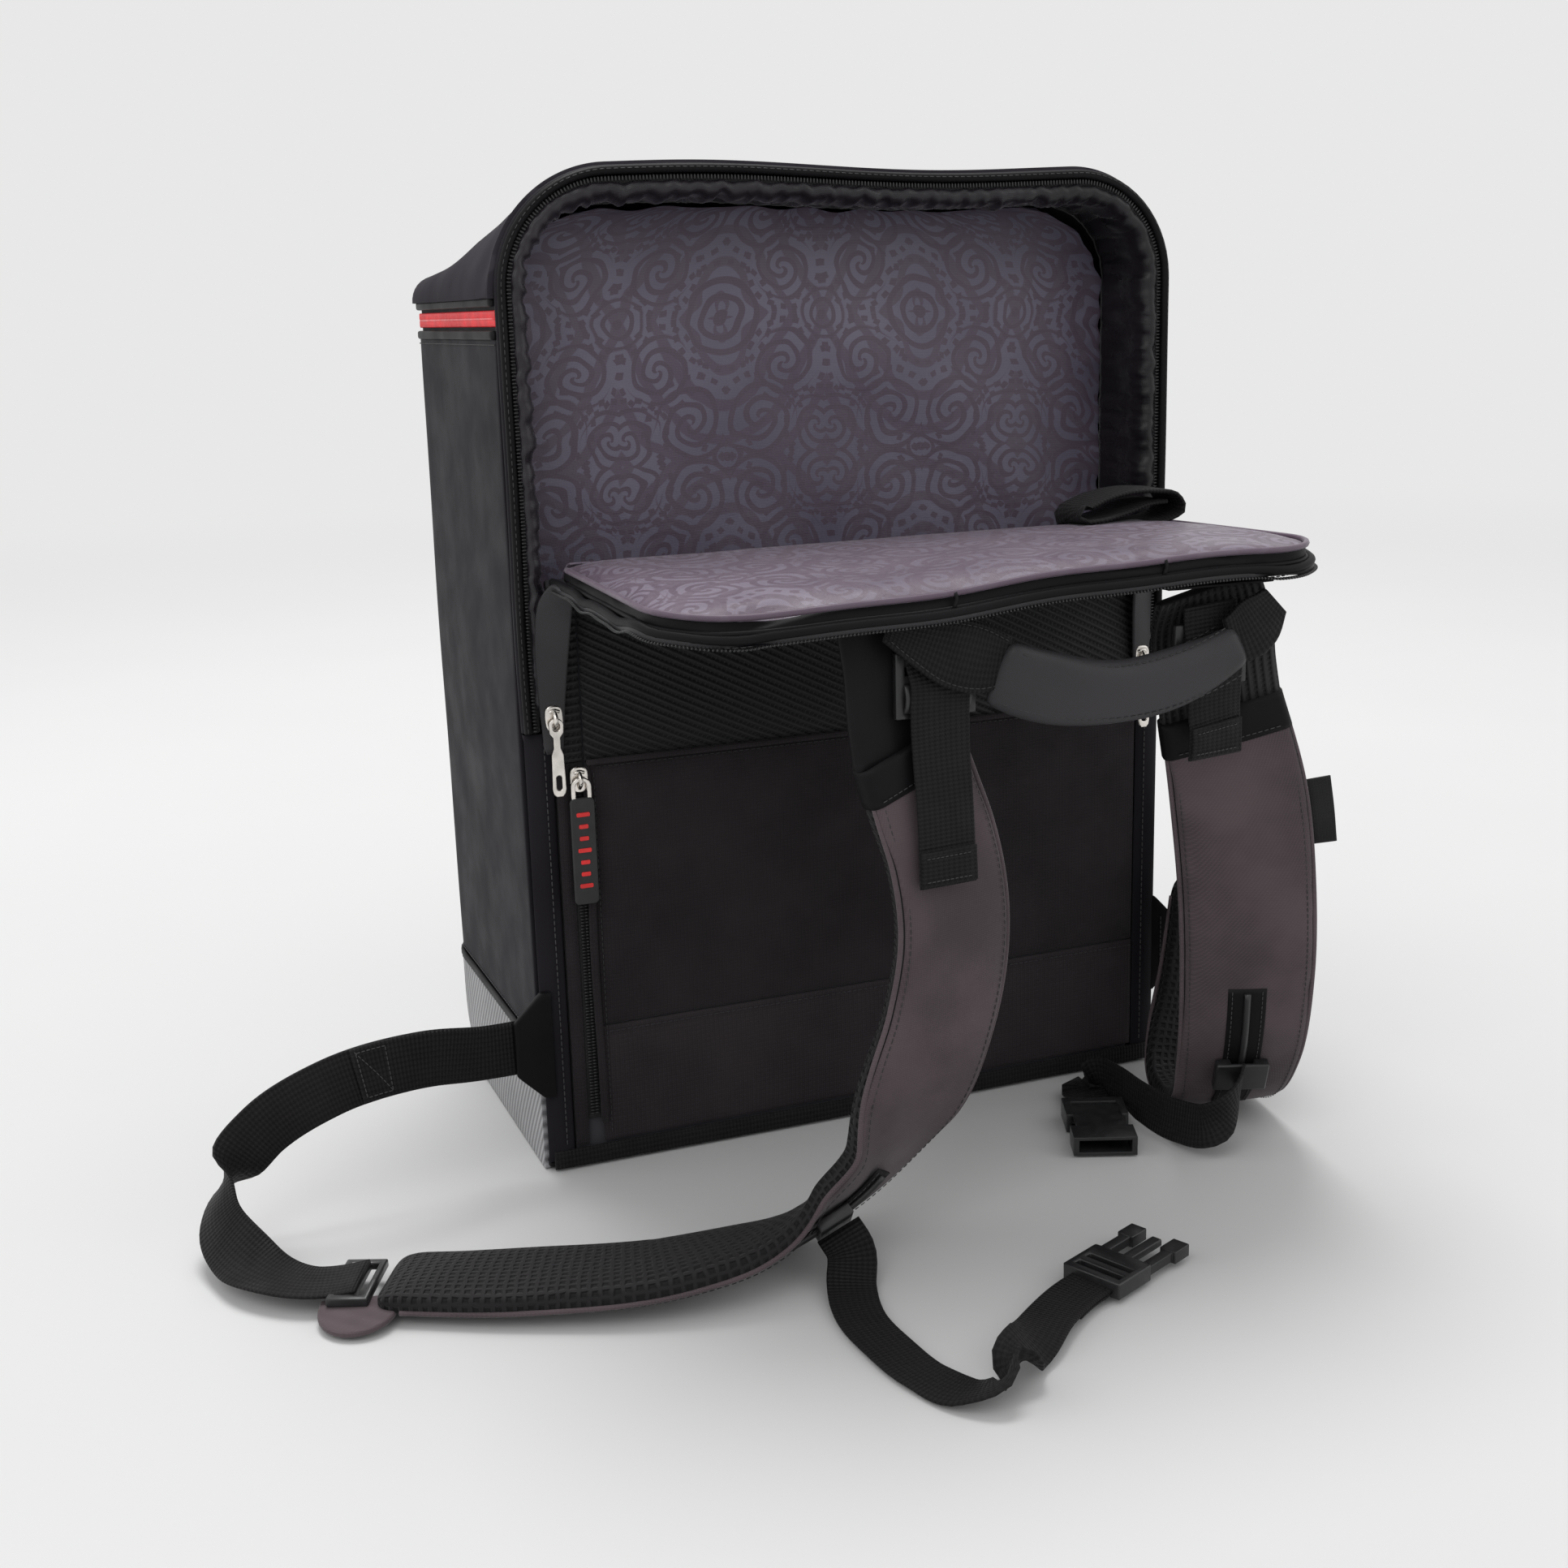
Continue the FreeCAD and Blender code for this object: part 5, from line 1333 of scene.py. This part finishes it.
# ---------------------------------------------------------------- shoulder straps
UPPER_LEFT = [((-42, -220.7, 216), (1, 0.2, 0), 50), ((-33, -219.6, 190), (1, 0.21, 0), 54),
              ((-27, -219.5, 172), (1, 0.22, 0), 56), ((-22, -219.5, 134), (1, 0.2, 0), 58),
              ((-29, -220.5, 98), (1, 0.2, -0.1), 59), ((-42, -221.0, 68), (1, 0.3, -0.3), 60)]
LOWER_LEFT = [((-57, -218, 42), (0.66, 0.72, -0.52), 60), ((-80, -216, 25), (0.55, 0.8, -0.5), 60),
              ((-108, -217, 15.5), (0.3, 1, -0.3), 58), ((-140, -215, 11.5), (0.15, 1, -0.18), 55),
              ((-196, -197, 8.8), (0.1, 1, -0.05), 49), ((-250, -171, 7.8), (0.35, 1, 0), 43)]
RIGHT = [((105, -216, 215), (1, -0.3, 0), 54), ((118, -213, 172), (1, -0.45, 0), 60),
         ((127, -208, 130), (1, -0.5, 0), 61), ((135, -199, 84), (1, -0.5, 0), 61),
         ((141, -186, 42), (1, -0.4, 0), 59), ((146, -170, 18), (1, -0.25, 0), 56),
         ((151, -150, 9), (1, -0.15, 0), 54), ((156, -130, 11.5), (1, -0.1, 0), 51),
         ((163, -117, 28), (1, 0, 0), 49), ((171, -111.4, 62), (1, 0, 0), 46),
         ((176, -110, 103), (1, 0, 0), 43)]
LEFT_BODIES = ("strap_left_lower", "strap_left_upper", (-75, -217, 30), (-30, -219, 95))


def strap_pad(name, stations, body, replaced, cap=1.3):
    """A foam strap: smooth cloth outside, air mesh inside and round the edges, corded seams."""
    rail = Rail(stations, 3.0)
    outline = lambda w: oblong(w - 3.0, STRAP_THICK - 2.2, 2.6, cells=9, steps=4, crown=0.9)
    piece = sweep(name, rail, outline, [M["strap"], M["air"]], taper=13.0, inner=3.3)
    puff(piece, 3.5, cap, 14)
    subdivide(piece)
    place(piece, body, "strap_cloth", *replaced)
    inset = 9.0
    s = np.linspace(inset, rail.s[-1] - inset, 150)
    half = rail.width(s) / 2
    for letter, side in (("a", -1), ("b", 1)):
        p, _ = rail.line(s, side * (half - 2.0), STRAP_THICK / 2 - 2.7)
        tube(f"{name}_cord_{letter}", p[::2], 1.1, "strap", 8, 3.0, body, "strap_cloth")
    rows = [rail.line(s, side * (half - 5.2), STRAP_THICK / 2 - 0.35) for side in (-1, 1)]
    stitches(f"{name}_stitches", rows, body, "thread_dark", 3.0, 2.1, 0.42, "strap_cloth")
    return rail


def flat_web(name, stations, body, replaced=(), thick=1.7, step=3.0, material="web", slot="webbing"):
    """A run of flat webbing."""
    return strip(name, stations, step, thick, thick * 0.45, material, body, slot, *replaced, cells=3, steps=2)


def box_stitch(name, rail, start, end, body, face):
    """The sewn square, with one diagonal, that holds an end of webbing; face is its side."""
    half = float(rail.width((start + end) / 2)) / 2 - 2.4
    corners = [(start, -half), (end, -half), (end, half), (start, half), (start, -half), (end, half)]
    lines = []
    for (s0, a0), (s1, a1) in zip(corners, corners[1:]):
        p, n = rail.line(np.linspace(s0, s1, 14), np.linspace(a0, a1, 14), face * 0.95)
        lines.append((p, n * face))
    stitches(name, lines, body, "thread", 2.2, 1.7, 0.4, "webbing")


left_rail = strap_pad("strap_left", UPPER_LEFT + LOWER_LEFT, LEFT_BODIES,
                      ("strap_left_upper_pad", "strap_left_lower_pad"))
right_rail = strap_pad("strap_right", RIGHT, "strap_right", ("strap_right_pad",))


def necks():
    """Cloth necks that join the straps to the flap, capped with coated fabric where they meet the pads."""
    for side, rail, body, material in (("left", left_rail, "strap_left_upper", "coated_dark"),
                                       ("right", right_rail, "strap_right", "mesh_rows")):
        top, across = rail.p[0], tuple(rail.a[0])
        root = np.array([ROOT_X[side], -222.0, FOLD - 2.6])
        stations = [(tuple(root), (1, 0.06, 0), 50)]
        stations += [(tuple(root * (1 - k) + top * k), across, 51) for k in (0.35, 0.7)]
        stations.append((tuple(top + rail.t[0] * 5), across, 52))
        flat_web(f"strap_{side}_neck_cloth", stations, body, (f"strap_{side}_neck",), 6.6, 3.0, material,
                 "strap_cloth")
        stations = rail.stations([(s, 0.0, float(rail.width(s)) - 1.2) for s in (1.0, 6.0, 12.0, 17.0)])
        cap = strip(f"strap_{side}_cap", stations, 2.0, STRAP_THICK + 0.4, 3.8, "coated_dark", body,
                    "coated_fabric", cells=6, crown=1.0)
        row = cap.line(np.full(60, cap.s[-1] - 2.2), np.linspace(-22, 22, 60), STRAP_THICK / 2 + 1.0)
        stitches(f"strap_{side}_cap_stitches", [row], body, "thread", 2.6, 1.9, 0.42)


def curved_plate(name, low, high, bow, body):
    """A glossy plate that bows out between its upper and lower edges."""

    def surface(u, v):
        x, z = low[0] + (high[0] - low[0]) * u, low[2] + (high[2] - low[2]) * v
        y = high[1] - bow * np.sin(math.pi * v) ** 0.8 - 0.4 * np.sin(math.pi * u)
        return np.stack([x, y, z], axis=-1)

    place(slab(name, surface, 14, 14, 1.6, M["acetal"], 0.6), body, "acetal")


def lifters():
    """Load lifters: buckle, its curved flap, and webbing with a folded, stitched end."""
    for side, body, lean in (("left", "strap_left_upper", -2.0), ("right", "strap_right", 2.0)):
        low, high = span(f"lifter_buckle_{side}")
        bottom = span(f"lifter_webbing_{side}")[0][2]
        rounded_copy(f"lifter_buckle_{side}", 0.7, body)
        x, y = (low[0] + high[0]) / 2, low[1] - 0.9
        curved_plate(f"lifter_{side}_flap", (low[0] + 3, 0, low[2] + 2),
                     (high[0] - 3, low[1] - 0.2, high[2] - 12), 2.6, body)
        stations = [((x - 2, y - 0.2, high[2] + 8), (1, 0, 0), 24.5),
                    ((x - 1, y, high[2] - 4), (1, 0, 0), 24.8),
                    ((x, y - 2.6, high[2] - 12), (1, 0, 0), WEB_WIDE),
                    ((x, y - 2.2, low[2] + 3), (1, 0, 0), WEB_WIDE),
                    ((x + 1, y - 0.6, low[2] - 10), (1, 0.02, 0.03), WEB_WIDE),
                    ((x + 2, y + lean * 0.5 - 1.0, (low[2] + bottom) / 2), (1, 0.06, 0.04), WEB_WIDE),
                    ((x + 3, y + lean - 0.4, bottom + 1.5), (1, 0.02, 0.06), WEB_WIDE)]
        rail = flat_web(f"lifter_{side}_web", stations, body, (f"lifter_webbing_{side}",), 1.6)
        end = rail.s[-1]
        hem = rail.stations([(end - back, 1.5, 24.6) for back in (15, 8, 1)])
        flat_web(f"lifter_{side}_hem", hem, body, (), 1.3)
        rows = [rail.line(np.full(30, end - back), np.linspace(-10.5, 10.5, 30), 2.3) for back in (12.5, 3.0)]
        stitches(f"lifter_{side}_stitches", rows, body, "thread", 2.0, 1.5, 0.4, "webbing")


def root_patches():
    """Patches under the flap that hold the roots of the straps."""
    low, high = span("strap_root_patches")
    for name, nodes in (("left", ("strap_root_patches",)), ("right", ())):
        x = ROOT_X[name]
        patch = panel_box(f"root_patch_{name}", (x - 25, low[1], low[2]), (x + 25, high[1], high[2]),
                          M["coated_dark"], 0.4, 10)
        place(patch, "flap", "coated_fabric", *nodes)
        corners = [(x - 22, low[1] + 3), (x + 22, low[1] + 3), (x + 22, high[1] - 3), (x - 22, high[1] - 3)]
        rows = [(np.linspace((*a, low[2]), (*b, low[2]), 30), (0, 0, -1))
                for a, b in zip(corners, corners[1:] + corners[:1])]
        stitches(f"root_patch_{name}_stitches", rows, "flap")


def locks():
    """Ladder locks at the strap ends, on their sewn tabs."""
    for side, rail, body in (("left", left_rail, "strap_left_lower"), ("right", right_rail, "strap_right")):
        rounded_copy(f"strap_{side}_lock", 0.8, body)
        end, face = rail.s[-1], STRAP_THICK / 2 + 0.4
        stations = rail.stations([(end - 22, face, 30), (end - 12, face - 0.09, 29),
                                  (end - 4, face - 0.18, 27), (end, face - 0.12, 26)])
        tab = flat_web(f"strap_{side}_tab", stations, body, (), 1.6, 2.0, "web_light")
        box_stitch(f"strap_{side}_tab_stitches", tab, 3, tab.s[-1] - 4, body, 1.0)
    turns = (math.radians(c) for c in range(180, 361, 12))
    half_round = [(16.0, 5.0), (-16.0, 5.0)] + [(16.0 * math.cos(c), 17.0 * math.sin(c) - 2.0) for c in turns]
    plate("strap_left_end_tab", [half_round], 2.6, 0.9, (-262.0, -181.0, 4.6), "strap_left_lower",
          "strap_cloth", "strap", x_axis=(0.93, -0.33, 0.06), y_axis=(0.3, 0.93, 0.1))


def rails():
    """Cord rails for the sternum sliders, on strips of coated tape."""
    for side, rail, body, reach in (("left", left_rail, "strap_left_lower", 30.0),
                                    ("right", right_rail, "strap_right", 36.0)):
        node = f"sternum_rail_{side}"
        low, high = span(node)
        s0 = rail.s[np.argmin(np.linalg.norm(rail.p - (low + high) / 2, axis=1))]
        lengths = np.linspace(s0 - reach, s0 + reach, 7)
        stations = rail.stations([(s, STRAP_THICK / 2 + 0.9, 17.0) for s in lengths])
        tape = flat_web(f"rail_{side}_tape", stations, body, (node,), 1.0, 3.0, "coated_dark", "strap_cloth")
        p, _ = tape.line(np.linspace(2, tape.s[-1] - 2, 16), 0.0, 1.1)
        tube(f"rail_{side}_bead", p, 1.6, "acetal", 8, 3.0, body, "acetal")
        rows = [tape.line(np.linspace(1, tape.s[-1] - 1, 60), across, 0.6) for across in (-6.6, 6.6)]
        stitches(f"rail_{side}_stitches", rows, body, "thread", 2.6, 1.9, 0.4, "strap_cloth")


def anchors():
    """Coated tabs at the lower corners, with a row of stitches where the webbing enters."""
    low, high = span("webbing_anchors")
    middle, tall = (low[2] + high[2]) / 2, (high[2] - low[2]) / 2
    for name, side, nodes in (("left", -1, ("webbing_anchors",)), ("right", 1, ())):

        def surface(u, v):
            x = side * (HALF - 5.0 + (high[0] - HALF + 5.0) * u)
            z = middle + (v - 0.5) * 2 * (tall - (tall - 12.5) * np.clip(u * 1.4 - 0.4, 0, 1))
            return np.stack([x, low[1] + 0.4 - 0.5 * np.sin(math.pi * u), z], axis=-1)

        place(slab(f"anchor_{name}", surface, 12, 16, 3.4, M["coated_dark"], 0.6), "bag", "coated_fabric",
              *nodes)
        x = side * (HALF + 3.5)
        row = upright((x, x), (middle - 15, middle + 15), low[1] - 0.1, 40)
        stitches(f"anchor_{name}_stitches", [(row, OUT)], "bag", "thread", 2.4, 1.8)


LOOP_LEFT = [((-170.5, -83, 62), (0, 0, 1)), ((-186, -83, 62), (0, 0, 1)), ((-215, -89, 66), (0, 0.15, 1)),
             ((-256, -92, 61), (0, 0.3, 1)), ((-286, -94, 47), (0.3, 0.2, 1)),
             ((-302, -99, 31), (0.5, 0.1, 1)), ((-307, -113, 20.5), (0.8, -0.2, 1)),
             ((-302, -132, 13.5), (1, -0.2, 0.5)), ((-292, -148, 9.5), (1, 0.6, 0.1)),
             ((-278, -160, 8.2), (0.35, 1, 0)), ((-266, -164, 8.4), (0.35, 1, 0)),
             ((-258, -167.5, 10.4), (0.35, 1, 0))]
LOOP_RIGHT = [((170.5, -83, 60), (0, 0, 1)), ((184, -83, 60), (0, 0, 1)), ((194, -91, 68), (-0.5, 0, 0.85)),
              ((196, -92, 82), (-1, 0, 0.35)), ((190, -92, 104), (-1, 0, 0)), ((184, -92.5, 124), (-1, 0, 0)),
              ((181, -96, 138), (-1, 0, 0)), ((179.4, -103, 143), (-1, 0, 0)),
              ((178.2, -108.4, 138), (-1, 0, 0)), ((177.4, -109.6, 126), (-1, 0, 0)),
              ((177, -109.6, 112), (-1, 0, 0))]


def lower_webbing():
    """Webbing from the bag's corners to the strap ends. The left one is sewn double near the bag."""
    across_left = ("bag", "strap_left_lower", (-287, -149, 61), (-267, -188, 49))
    across_right = ("bag", "strap_right", (186, -84, 62), (179, -106, 135))
    rail = flat_web("lower_web_left", [(p, a, WEB_WIDE) for p, a in LOOP_LEFT], across_left,
                    ("lower_webbing_left",))
    double = rail.stations([(s, -1.7, 24.6) for s in np.linspace(0.5, 74, 9)])
    second = flat_web("lower_web_left_double", double, across_left)
    box_stitch("lower_web_left_stitches", second, second.s[-1] - 14, second.s[-1] - 2, across_left, -1.0)
    flat_web("lower_web_right", [(p, a, WEB_WIDE) for p, a in LOOP_RIGHT], across_right,
             ("lower_webbing_right",))


def sternum():
    """Chest straps: sliders on their rails, webbing, and the halves of the buckle."""
    for node, body, width in (
            ("sternum_slider_left", "sternum_left", 0.9), ("sternum_slider_right", "sternum_right", 0.9),
            ("buckle_male", "sternum_left", 0.8), ("buckle_prong_inner", "prong_inner", 0.8),
            ("buckle_prong_outer", "prong_outer", 0.8), ("buckle_female", "sternum_right", 1.1)):
        rounded_copy(node, width, body)
    left = [((-76, -224.4, 17.8), (0.93, 0, 0.36)), ((-74, -232, 12), (0.93, 0, 0.36)),
            ((-79, -244, 3.8), (1, 0, 0.05)), ((-84, -262, 1.6), (1, 0, 0)), ((-84, -290, 1.6), (1, -0.1, 0)),
            ((-80, -314, 1.6), (1, -0.2, 0)), ((-72, -332, 3.2), (1, 0.1, 0.1)),
            ((-62, -338, 8), (1, 0.8, 0)), ((-52, -330, 10.5), (0.8, 1, 0)),
            ((-38, -317, 8), (0.6, 1, 0)), ((-20, -300, 5.6), (-0.45, 1, 0)),
            ((-3, -288.5, 5.0), (-0.4, 0.92, 0)), ((11, -282.5, 5.2), (-0.4, 0.92, 0))]
    rail = flat_web("sternum_web_left", [(p, a, STERNUM_WIDE) for p, a in left], "sternum_left",
                    ("sternum_webbing_left",), 1.5)
    hem = rail.stations([(rail.s[-1] - back, b, 19.6) for back, b in ((30, -1.5), (18, -1.6), (6, -1.5))])
    flat_web("sternum_web_left_hem", hem, "sternum_left", (), 1.3)
    right = [((137.5, -194.6, 33.2), (-0.15, -0.39, 0.91)), ((131.5, -200.6, 29.6), (-0.1, -0.3, 0.95)),
             ((118, -200, 17), (0.3, 0, 1)), ((112, -180, 12), (0.2, 0, 1)), ((110, -154, 11.6), (0.1, 0, 1)),
             ((111, -132, 11.6), (0, 0, 1)), ((107, -118, 11), (0.2, -0.3, 1)),
             ((101, -115, 7), (0.8, -0.5, 0.4)), ((97.4, -127, 5.2), (0.92, -0.38, 0)),
             ((92, -141, 5.2), (0.92, -0.38, 0))]
    flat_web("sternum_web_right", [(p, a, STERNUM_WIDE) for p, a in right], "sternum_right",
             ("sternum_webbing_right",), 1.5)


def plate(name, loops, thick, bevel, origin, body, slot, material, *replaced, x_axis=(1, 0, 0),
          y_axis=(0, 0, 1)):
    """A flat plate with rounded edges from closed outlines; the later ones are holes."""
    curve = bpy.data.curves.new(name, "CURVE")
    curve.dimensions = "2D"
    curve.fill_mode = "BOTH"
    curve.extrude = (thick / 2 - bevel) * MM
    curve.bevel_depth = bevel * MM
    curve.bevel_resolution = 2
    curve.offset = -bevel * MM
    for loop in loops:
        line = curve.splines.new("POLY")
        line.points.add(len(loop) - 1)
        line.points.foreach_set("co", [c for x, y in loop for c in (x * MM, y * MM, 0.0, 1.0)])
        line.use_cyclic_u = True
    shape = bpy.data.objects.new(name + "_outline", curve)
    mesh = bpy.data.meshes.new_from_object(shape)
    bpy.data.objects.remove(shape)
    x_axis, y_axis = Vector(x_axis).normalized(), Vector(y_axis).normalized()
    turn = Matrix((x_axis, y_axis, x_axis.cross(y_axis))).transposed().to_4x4()
    mesh.transform(Matrix.Translation([MM * c for c in origin]) @ turn)
    mesh.materials.clear()
    mesh.materials.append(M[material])
    mesh.polygons.foreach_set("use_smooth", [True] * len(mesh.polygons))
    piece = bpy.data.objects.new(name, mesh)
    bpy.context.scene.collection.objects.link(piece)
    fix_normals(piece)
    place(piece, body, slot, *replaced)


def rounded_box(x0, x1, y0, y1, radius, steps=6):
    """Corner points of a rectangle with round corners."""
    left, right, bottom, top = x0 + radius, x1 - radius, y0 + radius, y1 - radius
    pts = []
    for cx, cy, start in ((right, top, 0), (left, top, 90), (left, bottom, 180), (right, bottom, 270)):
        for k in range(steps + 1):
            c = math.radians(start + 90 * k / steps)
            pts.append((cx + radius * math.cos(c), cy + radius * math.sin(c)))
    return pts


def slider_body(name, node, facing):
    """A zip slider: shield-shaped plate, raised back and the bridge that holds the pull."""
    low, high = span(node)
    middle = (low + high) / 2
    base = low[1] if facing > 0 else high[1]
    half, tall = (high[0] - low[0]) / 2, (high[2] - low[2]) / 2
    outline = []
    for k in range(40):
        x, z = math.cos(2 * math.pi * k / 40), math.sin(2 * math.pi * k / 40)
        squeeze = 0.80 + 0.20 * (z + 1) / 2
        outline.append((half * squeeze * math.copysign(abs(x) ** 0.7, x),
                        tall * math.copysign(abs(z) ** 0.75, z)))
    plate(name + "_plate", [outline], 1.8, 0.7, (middle[0], base + facing * 1.1, middle[2]), node, "nickel",
          "nickel", node, x_axis=(-facing, 0, 0))
    bridge = [(middle[0], base + facing * (1.5 + 3.4 * math.sin(math.pi * k / 8)),
               middle[2] - tall * 0.62 + tall * 1.24 * k / 8) for k in range(9)]
    tube(name + "_bridge", bridge, 1.05, "nickel", 10, 1.0, node, "nickel")
    brow = [(middle[0] - facing * across * half * 0.5, base + facing * 2.2, middle[2] + tall * 0.2 * up)
            for across, up in ((-1, 2.6), (0, 3.2), (1, 2.6))]
    tube(name + "_brow", brow, 0.8, "nickel", 8, 1.0, node, "nickel")


def hang_point(node):
    """Where a pull hangs from: the middle of its top; and its length."""
    low, high = span(node)
    return (low[0] + high[0]) / 2, (low[1] + high[1]) / 2, high[2], high[2] - low[2]


def zips():
    """Sliders and pulls of the three zips. Each piece's body has its CAD node's name."""
    eye_hole = rounded_box(-1.7, 1.7, -5.4, -1.6, 1.6)
    for side in ("left", "right"):
        slider_body(f"main_zip_{side}", f"main_slider_{side}", -1)
        pull = f"main_pull_{side}"
        x, y, z, tall = hang_point(pull)
        eye = rounded_box(-3.2, 3.2, -7.0, 0.0, 2.9)
        shank = [(-3.0, -6.4), (-1.5, -8.4), (-1.5, -13.0), (-2.6, -16.0), (-3.0, -tall + 3.4)]
        foot = [(-2.6, -tall + 1.4), (-1.4, -tall), (1.4, -tall), (2.6, -tall + 1.4)]
        outline = eye[7:14] + shank + foot + [(-a, b) for a, b in shank[::-1]] + eye[0:7]
        holes = [eye_hole, rounded_box(-1.3, 1.3, -tall + 3.0, -tall + 9.4, 1.2)]
        plate(f"{pull}_plate", [outline] + holes, 1.5, 0.4, (x, y, z), pull, "nickel", "nickel", pull)
    slider_body("pocket_zip", "pocket_slider", -1)
    low, high = span("pocket_pull")
    x, y, z, _ = hang_point("pocket_pull")
    link = z - 8.6
    ring = [rounded_box(-4.6, 4.6, -12.0, 1.0, 4.4), rounded_box(-2.6, 2.6, -10.2, -1.0, 2.4)]
    plate("pocket_pull_ring", ring, 1.5, 0.5, (x, y, z), "pocket_pull", "nickel", "nickel", "pocket_pull")
    half = (high[0] - low[0]) / 2
    plate("pocket_pull_tab", [rounded_box(-half, half, low[2] - link, 0.4, 2.2)], 2.0, 0.5,
          (x, y - 0.2, link), "pocket_pull", "rubber_pull", "rubber")
    for number in range(7):
        top, wide = -6.0 - number * 5.4, 2.1 if number % 3 else 3.0
        plate(f"pocket_pull_bar_{number}", [rounded_box(-wide, wide, top - 1.9, top, 0.6)], 0.5, 0.15,
              (x, y - 1.35, link), "pocket_pull", "rubber_pull", "red_print")
    slider_body("red_zip", "red_slider", 1)
    x, y, z, tall = hang_point("red_pull")
    outline = rounded_box(-3.2, 3.2, -tall, 0, 2.6)
    holes = [eye_hole, rounded_box(-1.4, 1.4, -tall + 3.0, -tall + 14.0, 1.3)]
    plate("red_pull_plate", [outline] + holes, 1.5, 0.4, (x, y, z), "red_pull", "nickel", "nickel",
          "red_pull", x_axis=(-1, 0, 0))


def side_label():
    """A blank woven tab in the outer seam of the right strap."""
    s = right_rail.s[np.argmin(np.abs(right_rail.p[:, 2] - 160))]
    edge = float(right_rail.width(s)) / 2 + 3.6
    found = [right_rail.at(s + shift, edge) for shift in (-14, 0, 14)]
    flat_web("strap_label", [(tuple(p), tuple(a), 11.0) for p, a, _ in found], "strap_right", (), 1.2, 2.0,
             "tape")


necks()
lifters()
root_patches()
locks()
rails()
anchors()
lower_webbing()
sternum()
zips()
side_label()
